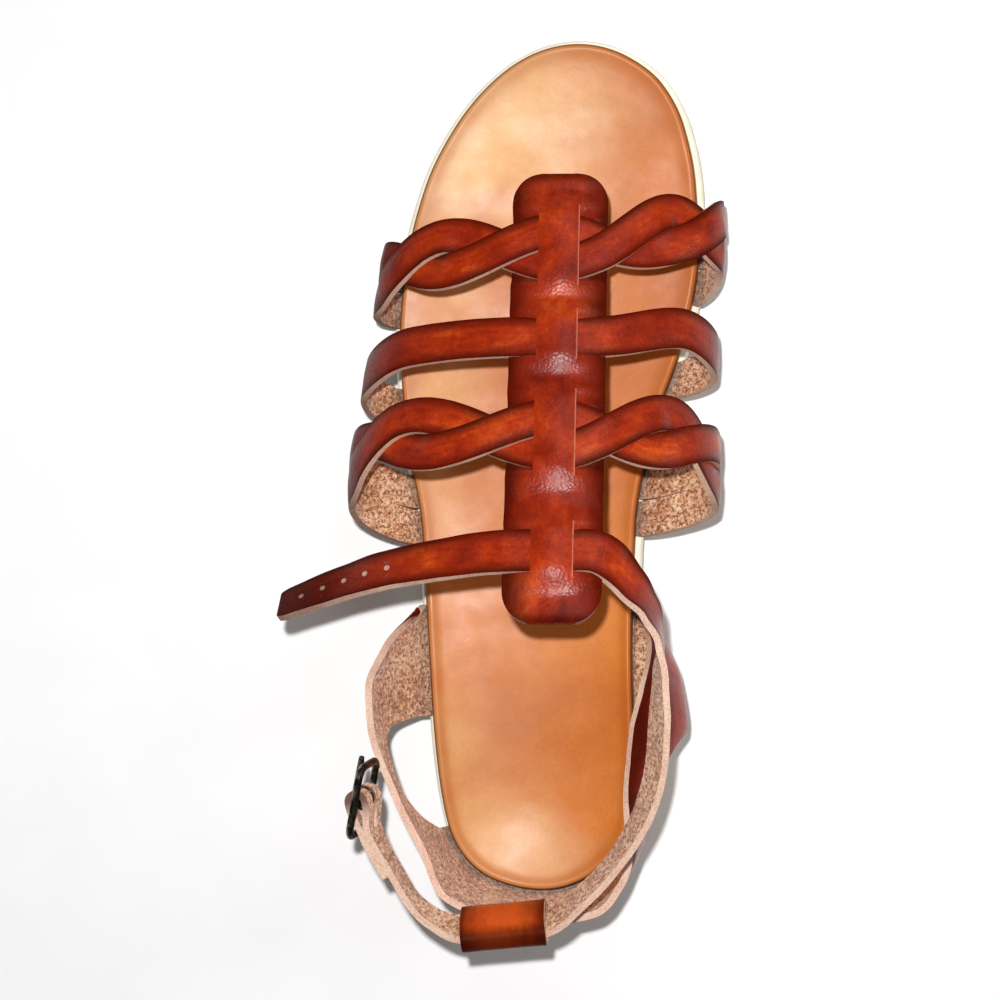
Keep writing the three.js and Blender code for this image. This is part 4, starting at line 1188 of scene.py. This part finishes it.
def make_counter():
    columns = counter_columns()
    lower_rows, upper_rows = COUNTER_ROWS
    rear = turn_at(OPENING_ENDS[0])
    points, places, faces, index = [], [], [], {}

    def vertex(i, row):
        """Row 0 is tucked in, lower_rows is where the upper grid starts, the last is the top."""
        if (i, row) in index:
            return index[(i, row)]
        turn, start, _ = columns[i]
        if row <= lower_rows:
            share = row / lower_rows
            height = mix(-COUNTER_TUCK, start, share)
            if abs(turn) <= rear + 1e-6:
                turn *= mix(turn_at(OPENING_REAR) / rear, 1, share)
        else:
            height = mix(start, 1, (row - lower_rows) / upper_rows)
        point = counter_point(turn, height)
        index[(i, row)] = len(points)
        points.append(point + outline_normal(turn) * soft_dents(point, 0.25))
        # The share across grows towards the top edge, which the leather darkens with painted shade
        places.append((turn * COUNTER_RUN, mix(0.2, 1, smoothstep(height, 0.7, 1)), 0))
        return index[(i, row)]

    for i in range(len(columns) - 1):
        lower = columns[i][2] and columns[i + 1][2]
        for row in range(0 if lower else lower_rows, lower_rows + upper_rows):
            faces.append((
                vertex(i, row), vertex(i + 1, row), vertex(i + 1, row + 1), vertex(i, row + 1),
            ))
    add_leather("heel_counter_leather", points, faces, places, "heel_counter", WALL)


def loop_matrix():
    point, _, across, _ = ankle_path.frame(LOOP_ROW)
    run = (ankle_path.point(LOOP_ROW + 1) - ankle_path.point(LOOP_ROW - 1)).normalized()
    flat = (across - run * across.dot(run)).normalized()
    matrix = Matrix((flat, run.cross(flat), run)).transposed().to_4x4()
    matrix.translation = point
    return matrix


def loop_outline(width, thickness):
    """Section of the heel's loop: an oval fuller than an ellipse."""
    outline = []
    for angle in circle(56):
        x, y = math.cos(angle), math.sin(angle)
        x = math.copysign(abs(x) ** 0.8, x) * width / 2
        outline.append((x, math.copysign(abs(y) ** 0.9, y) * thickness / 2))
    return outline


def make_heel_loop():
    """The folded loop of leather at the back, round the ankle strap."""
    width = ANKLE_STRAP_WIDTH + 4 * GAP + LOOP_WALL
    thickness = WALL + 5 * GAP + LOOP_WALL + LOOP_SLACK
    matrix = loop_matrix()
    outline = loop_outline(width, thickness)
    points, places = [], []
    shares = stations(-1, 1, 40)
    for share in shares:
        swell = 1 + 0.02 * share * share
        for x, y in outline:
            point = matrix @ Vector((x * swell, y * swell, share * LOOP_LENGTH / 2))
            points.append(point + (point - matrix.translation).normalized() * soft_dents(point, 0.15))
            # Painted shade towards the loop's two long edges, where its oval section turns away from
            # the light; the share along it gives its ends the leather's painted edge shade
            places.append((share * LOOP_LENGTH / 2, share, 0.9 * smoothstep(abs(x), 3.6, 7)))
    faces = grid_faces(len(shares), len(outline), closed=True)
    slots = [LIT_LOOP_GRAIN, SUEDE, EDGE]
    add_leather("heel_loop", points, faces, places, "heel_counter", LOOP_WALL, slots)


FOLD_ARC = math.pi * SLEEVE
END_ROUND = 2.2
HOLE_PATCH = 2.2
SLOT_HALF = 1.4
HOLE_LINES = (-HOLE_PATCH, -SLOT_HALF, 0, SLOT_HALF, HOLE_PATCH)
STRAP_LINES = (-STRAP_HALF, -4.8, -3.5, *HOLE_LINES, 3.5, 4.8, STRAP_HALF)


def ankle_point(distance, across_mm):
    """A point of the ankle strap's middle surface, by its distance from the free end."""
    path = ankle_path
    bar, bar_run, bar_across, bar_normal = path.frame(path.last)
    if path.length < distance < path.length + FOLD_ARC:
        angle = (distance - path.length) / SLEEVE - math.pi / 2
        radial = bar_run * math.cos(angle) + bar_normal * math.sin(angle)
        return bar + radial * SLEEVE + bar_across * across_mm
    tail = distance >= path.length + FOLD_ARC
    row = path.row_at(2 * path.length + FOLD_ARC - distance if tail else distance)
    point, _, across, normal = path.frame(row)
    away = (point - bar).length
    shift = mix(PLY, SLEEVE, 1 - smoothstep(away, 1, 8))
    if not tail:
        near = 1 - smoothstep(away, FOLD_LENGTH, 1.5 * FOLD_LENGTH)
        shift *= -near if row > LOOP_ROW + 1 else 0
    wave = 0 if away < 1.6 * FOLD_LENGTH else soft_dents(point, 0.15)
    return point + normal * (shift + wave) + across * across_mm


def end_taper(distance):
    """The free end's corners are cut a little round."""
    return mix(0.8, 1, math.sqrt(clamp(distance / END_ROUND, 0, 1)))


def ankle_marks(holes, slot):
    """Distances along the ankle strap at which its rows of points lie."""
    flat, folded = ankle_path.length, ankle_path.length + FOLD_ARC
    marks = [hole + offset for hole in holes for offset in HOLE_LINES]
    marks += [*slot, flat, folded, *stations(flat, folded, 12)[1:-1]]
    marks += [0, 0.3, 0.8, 1.5, END_ROUND]
    end = folded + FOLD_LENGTH
    even = stations(0, end, int(end / 1.1))
    return sorted(marks + [m for m in even if all(abs(m - other) > 0.45 for other in marks)])


def make_ankle_strap():
    flat, folded = ankle_path.length, ankle_path.length + FOLD_ARC
    holes = [FIRST_HOLE + i * HOLE_PITCH for i in range(HOLE_COUNT)]
    slot = (flat - SLOT_LENGTH, folded + SLOT_LENGTH)
    marks = ankle_marks(holes, slot)
    points, places, faces, kinds = [], [], [], []
    index = {}

    def vertex(distance, across):
        key = (round(distance, 3), round(across, 3))
        if key not in index:
            index[key] = len(points)
            points.append(ankle_point(distance, across * end_taper(distance)))
            # Painted shade round the fold at the buckle's bar and towards the free end, which turns
            # away from the light
            painted_light = 1.1 * (1 - smoothstep(abs(distance - flat - FOLD_ARC / 2), 2.5, 9))
            painted_light += 0.85 * (1 - smoothstep(distance, 0, 45))
            places.append((distance, across / STRAP_HALF, painted_light))
        return index[key]

    def add_face(corners, distance):
        faces.append(corners)
        kinds.append(3 if distance > flat + FOLD_ARC / 2 else 0)

    for start, end in zip(marks, marks[1:]):
        middle = (start + end) / 2
        by_hole = any(abs(middle - hole) < HOLE_PATCH for hole in holes)
        for a, b in zip(STRAP_LINES, STRAP_LINES[1:]):
            off = abs((a + b) / 2)
            punched = by_hole and off < HOLE_PATCH
            slotted = off < SLOT_HALF and slot[0] < middle < slot[1]
            if not punched and not slotted:
                corners = (vertex(start, a), vertex(end, a), vertex(end, b), vertex(start, b))
                add_face(corners, middle)
    for hole in holes:
        add_hole(hole, vertex, add_face)
    slots = [GRAIN, SUEDE, EDGE, SUEDE, GRAIN, EDGE]
    add_leather(
        "ankle_strap_leather", points, faces, places, "ankle_strap", LEATHER, slots, kinds
    )


def add_hole(hole, vertex, add_face):
    """Faces between a square patch of the strap and the round hole in its middle."""
    low, high = HOLE_LINES[0], HOLE_LINES[-1]
    onward, backward = HOLE_LINES[:-1], HOLE_LINES[:0:-1]
    square = [(hole + o, low) for o in onward] + [(hole + high, o) for o in onward]
    square += [(hole + o, high) for o in backward] + [(hole + low, o) for o in backward]
    rings = [square]
    for radius in (1.3, HOLE_DIAMETER / 2):
        angles = [math.atan2(across, distance - hole) for distance, across in square]
        rings.append([(hole + radius * math.cos(a), radius * math.sin(a)) for a in angles])
    for outer, inner in zip(rings, rings[1:]):
        for i in range(len(outer)):
            j = (i + 1) % len(outer)
            corners = (vertex(*outer[i]), vertex(*outer[j]), vertex(*inner[j]), vertex(*inner[i]))
            add_face(corners, hole)


# Buckle
WIRE_SIDES = 14
PRONG_SHANK = ((0, 1), (0.3, 0.97), (0.6, 0.95), (0.9, 0.96), (1, 0.98), (1.07, 0.98))


def wire_rings(centres, radius, closed):
    """Rings of points round a wire's centre line in the buckle's own axes."""
    count = len(centres)
    rings = []
    for i, centre in enumerate(centres):
        ahead = centres[(i + 1) % count] if closed else centres[min(i + 1, count - 1)]
        behind = centres[i - 1] if closed or i > 0 else centres[0]
        run = (ahead - behind).normalized()
        out = Vector((0, 1, 0)) if abs(run.y) < 0.9 else Vector((1, 0, 0))
        across = run.cross(out).normalized()
        out = across.cross(run)
        size = radius(i / (count - 1)) if callable(radius) else radius
        rings.append([
            centre + (out * math.cos(a) + across * math.sin(a)) * size
            for a in circle(WIRE_SIDES)
        ])
    return rings


def wire_faces(count, sides, closed, start):
    faces = grid_faces(count, sides, closed=True)
    if closed:
        end = (count - 1) * sides
        faces += [(end + j, end + (j + 1) % sides, (j + 1) % sides, j) for j in range(sides)]
    else:
        faces += [tuple(reversed(range(sides))), tuple(range((count - 1) * sides, count * sides))]
    return [tuple(start + v for v in face) for face in faces]


def add_wires(name, wires, body, node):
    matrix = buckle_matrix()
    points, places, faces = [], [], []
    for centres, radius, closed in wires:
        faces += wire_faces(len(centres), WIRE_SIDES, closed, len(points))
        for ring in wire_rings(centres, radius, closed):
            middle = sum(ring, Vector((0, 0, 0))) / len(ring)
            for point in ring:
                outward = (point - middle).normalized()
                wear = clamp(0.5 + 0.6 * outward.y + 0.3 * abs(outward.z), 0, 1)
                points.append(matrix @ point)
                places.append((point.x, point.z, wear))
    piece = add_piece(name, points, faces, [METAL], body, node, places)
    smooth = piece.modifiers.new("smooth", "SUBSURF")
    smooth.levels = smooth.render_levels = 1


def make_buckle_frame():
    width = ANKLE_STRAP_WIDTH + 2 * GAP + 2 * WIRE
    reach, side = (FRAME_LENGTH - WIRE) / 2, (width - WIRE) / 2
    centres = []
    for quarter, (sx, sz) in enumerate(((1, 1), (-1, 1), (-1, -1), (1, -1))):
        centre = Vector((sx * (reach - FRAME_CORNER), 0, sz * (side - FRAME_CORNER)))
        for share in stations(0, 1, 7):
            angle = (quarter + share) * math.pi / 2
            centres.append(centre + Vector((math.cos(angle), 0, math.sin(angle))) * FRAME_CORNER)
    bar = [Vector((0, 0, z)) for z in stations(-side, side, 8)]
    wires = [(centres, WIRE / 2, True), (bar, WIRE / 2, False)]
    add_wires("buckle_frame_wire", wires, "frame", "buckle_frame")


def make_prong():
    eye = WIRE / 2 + GAP + PRONG_WIRE / 2
    reach = FRAME_LENGTH / 2
    ring = [Vector((math.cos(a), math.sin(a), 0)) * eye for a in circle(28)]
    shank = [Vector((ahead * reach, out * eye, 0)) for ahead, out in PRONG_SHANK]

    def taper(share):
        return PRONG_WIRE / 2 * mix(1, 0.72, smoothstep(share, 0.5, 1))

    wires = [(ring, PRONG_WIRE / 2, True), (shank, taper, False)]
    add_wires("buckle_prong_wire", wires, "prong", "buckle_prong")


# Stitches
STITCH_ROWS = (11.5, 16.5)
STITCH_STARTS = (-4.2, -1.9, 0.4, 2.7)
STITCH_LENGTH = 1.5
THREAD_RADIUS = 0.32


def add_stitches():
    """Two rows of stitches across the strap's doubled end, on both of its faces."""
    path = ankle_path
    points, faces = [], []
    for back in STITCH_ROWS:
        normal = path.frame(path.row_at(path.length - back))[3]
        for distance, side in ((path.length - back, -1), (path.length + FOLD_ARC + back, 1)):
            for start in STITCH_STARTS:
                ends = [ankle_point(distance, start + reach) for reach in (0, STITCH_LENGTH)]
                add_thread(points, faces, ends, normal * side)
    add_piece("strap_stitches", points, faces, [THREAD], "root", "ankle_strap")


def add_thread(points, faces, ends, normal):
    """A short arched thread between two needle holes."""
    run = (ends[1] - ends[0]).normalized()
    across = run.cross(normal)
    sides, count = 8, 9
    start = len(points)
    for share in stations(0, 1, count - 1):
        arch = math.sin(math.pi * share)
        centre = ends[0].lerp(ends[1], share) + normal * (LEATHER / 2 - 0.15 + 0.3 * arch)
        radius = THREAD_RADIUS * (0.5 + 0.5 * arch)
        for a in circle(sides):
            points.append(centre + (normal * math.cos(a) + across * math.sin(a)) * radius)
    faces += wire_faces(count, sides, False, start)


# Stage, lights and camera. The lights are in metres and watts, the camera in millimetres
FLOOR_REACH = 3
LIGHTS = (
    ("key", (0.027, 0.118, 0.7), (0.014, 0.014), 4.4),
    ("toe softbox", (0.16, 0.6, 0.6), (0.36, 0.36), 0.6),
    ("side softbox", (0.56, 0.16, 0.38), (0.2, 0.3), 0.7),
)
LIGHT_TARGET = Vector((-0.01, 0.08, 0.03))
WORLD_STRENGTH = 0.15
LENS = 92
CAMERA_PLACE = (46.67, 79.7, 700)
CAMERA_TARGET = (-8.8, 75.7, 25)


def make_stage():
    g = Graph("pale floor")
    speck = g.noise(g.spot(), 40, 4)
    color = g.ramp(speck, [(0.3, (0.93, 0.93, 0.93, 1)), (0.7, (0.96, 0.96, 0.96, 1))])
    g.finish(Base_Color=color, Roughness=0.6, Specular_IOR_Level=0.2)
    mesh = bpy.data.meshes.new("floor")
    signs = ((-1, -1), (1, -1), (1, 1), (-1, 1))
    corners = [(x * FLOOR_REACH, y * FLOOR_REACH, 0) for x, y in signs]
    mesh.from_pydata(corners, [], [(0, 1, 2, 3)])
    mesh.materials.append(g.material)
    floor = bpy.data.objects.new("floor", mesh)
    bpy.context.scene.collection.objects.link(floor)


def add_light(name, place, size, watts):
    light = bpy.data.lights.new(name, "AREA")
    light.shape = "RECTANGLE"
    light.size, light.size_y = size
    light.energy = watts
    lamp = bpy.data.objects.new(name, light)
    lamp.location = place
    lamp.rotation_euler = (LIGHT_TARGET - Vector(place)).to_track_quat("-Z", "Y").to_euler()
    bpy.context.scene.collection.objects.link(lamp)


def make_lights():
    """A key beside the lens, as in the photograph, and two wide softboxes."""
    for light in LIGHTS:
        add_light(*light)
    world = bpy.data.worlds.new("studio")
    bpy.context.scene.world = world
    world.use_nodes = True
    background = world.node_tree.nodes["Background"]
    background.inputs["Color"].default_value = (1, 1, 1, 1)
    background.inputs["Strength"].default_value = WORLD_STRENGTH


def make_camera():
    """The photograph's viewpoint, straight above the pair, aimed at this one sandal."""
    camera = bpy.data.cameras.new("camera")
    camera.sensor_width = 36
    camera.lens = LENS
    place, target = Vector(CAMERA_PLACE) * MM, Vector(CAMERA_TARGET) * MM
    rig = bpy.data.objects.new("camera", camera)
    back = (place - target).normalized()
    right = Vector((0, 1, 0)).cross(back).normalized()
    axes = Matrix((right, back.cross(right), back)).transposed()
    rig.matrix_world = Matrix.Translation(place) @ axes.to_4x4()
    bpy.context.scene.collection.objects.link(rig)
    bpy.context.scene.camera = rig


make_stage()
make_lights()
make_camera()
bpy.context.scene.view_settings.view_transform = "Standard"
make_outsole()
make_midsole()
make_footbed()
make_cross_straps()
make_spine()
make_counter()
make_heel_loop()
make_ankle_strap()
make_buckle_frame()
make_prong()
add_stitches()
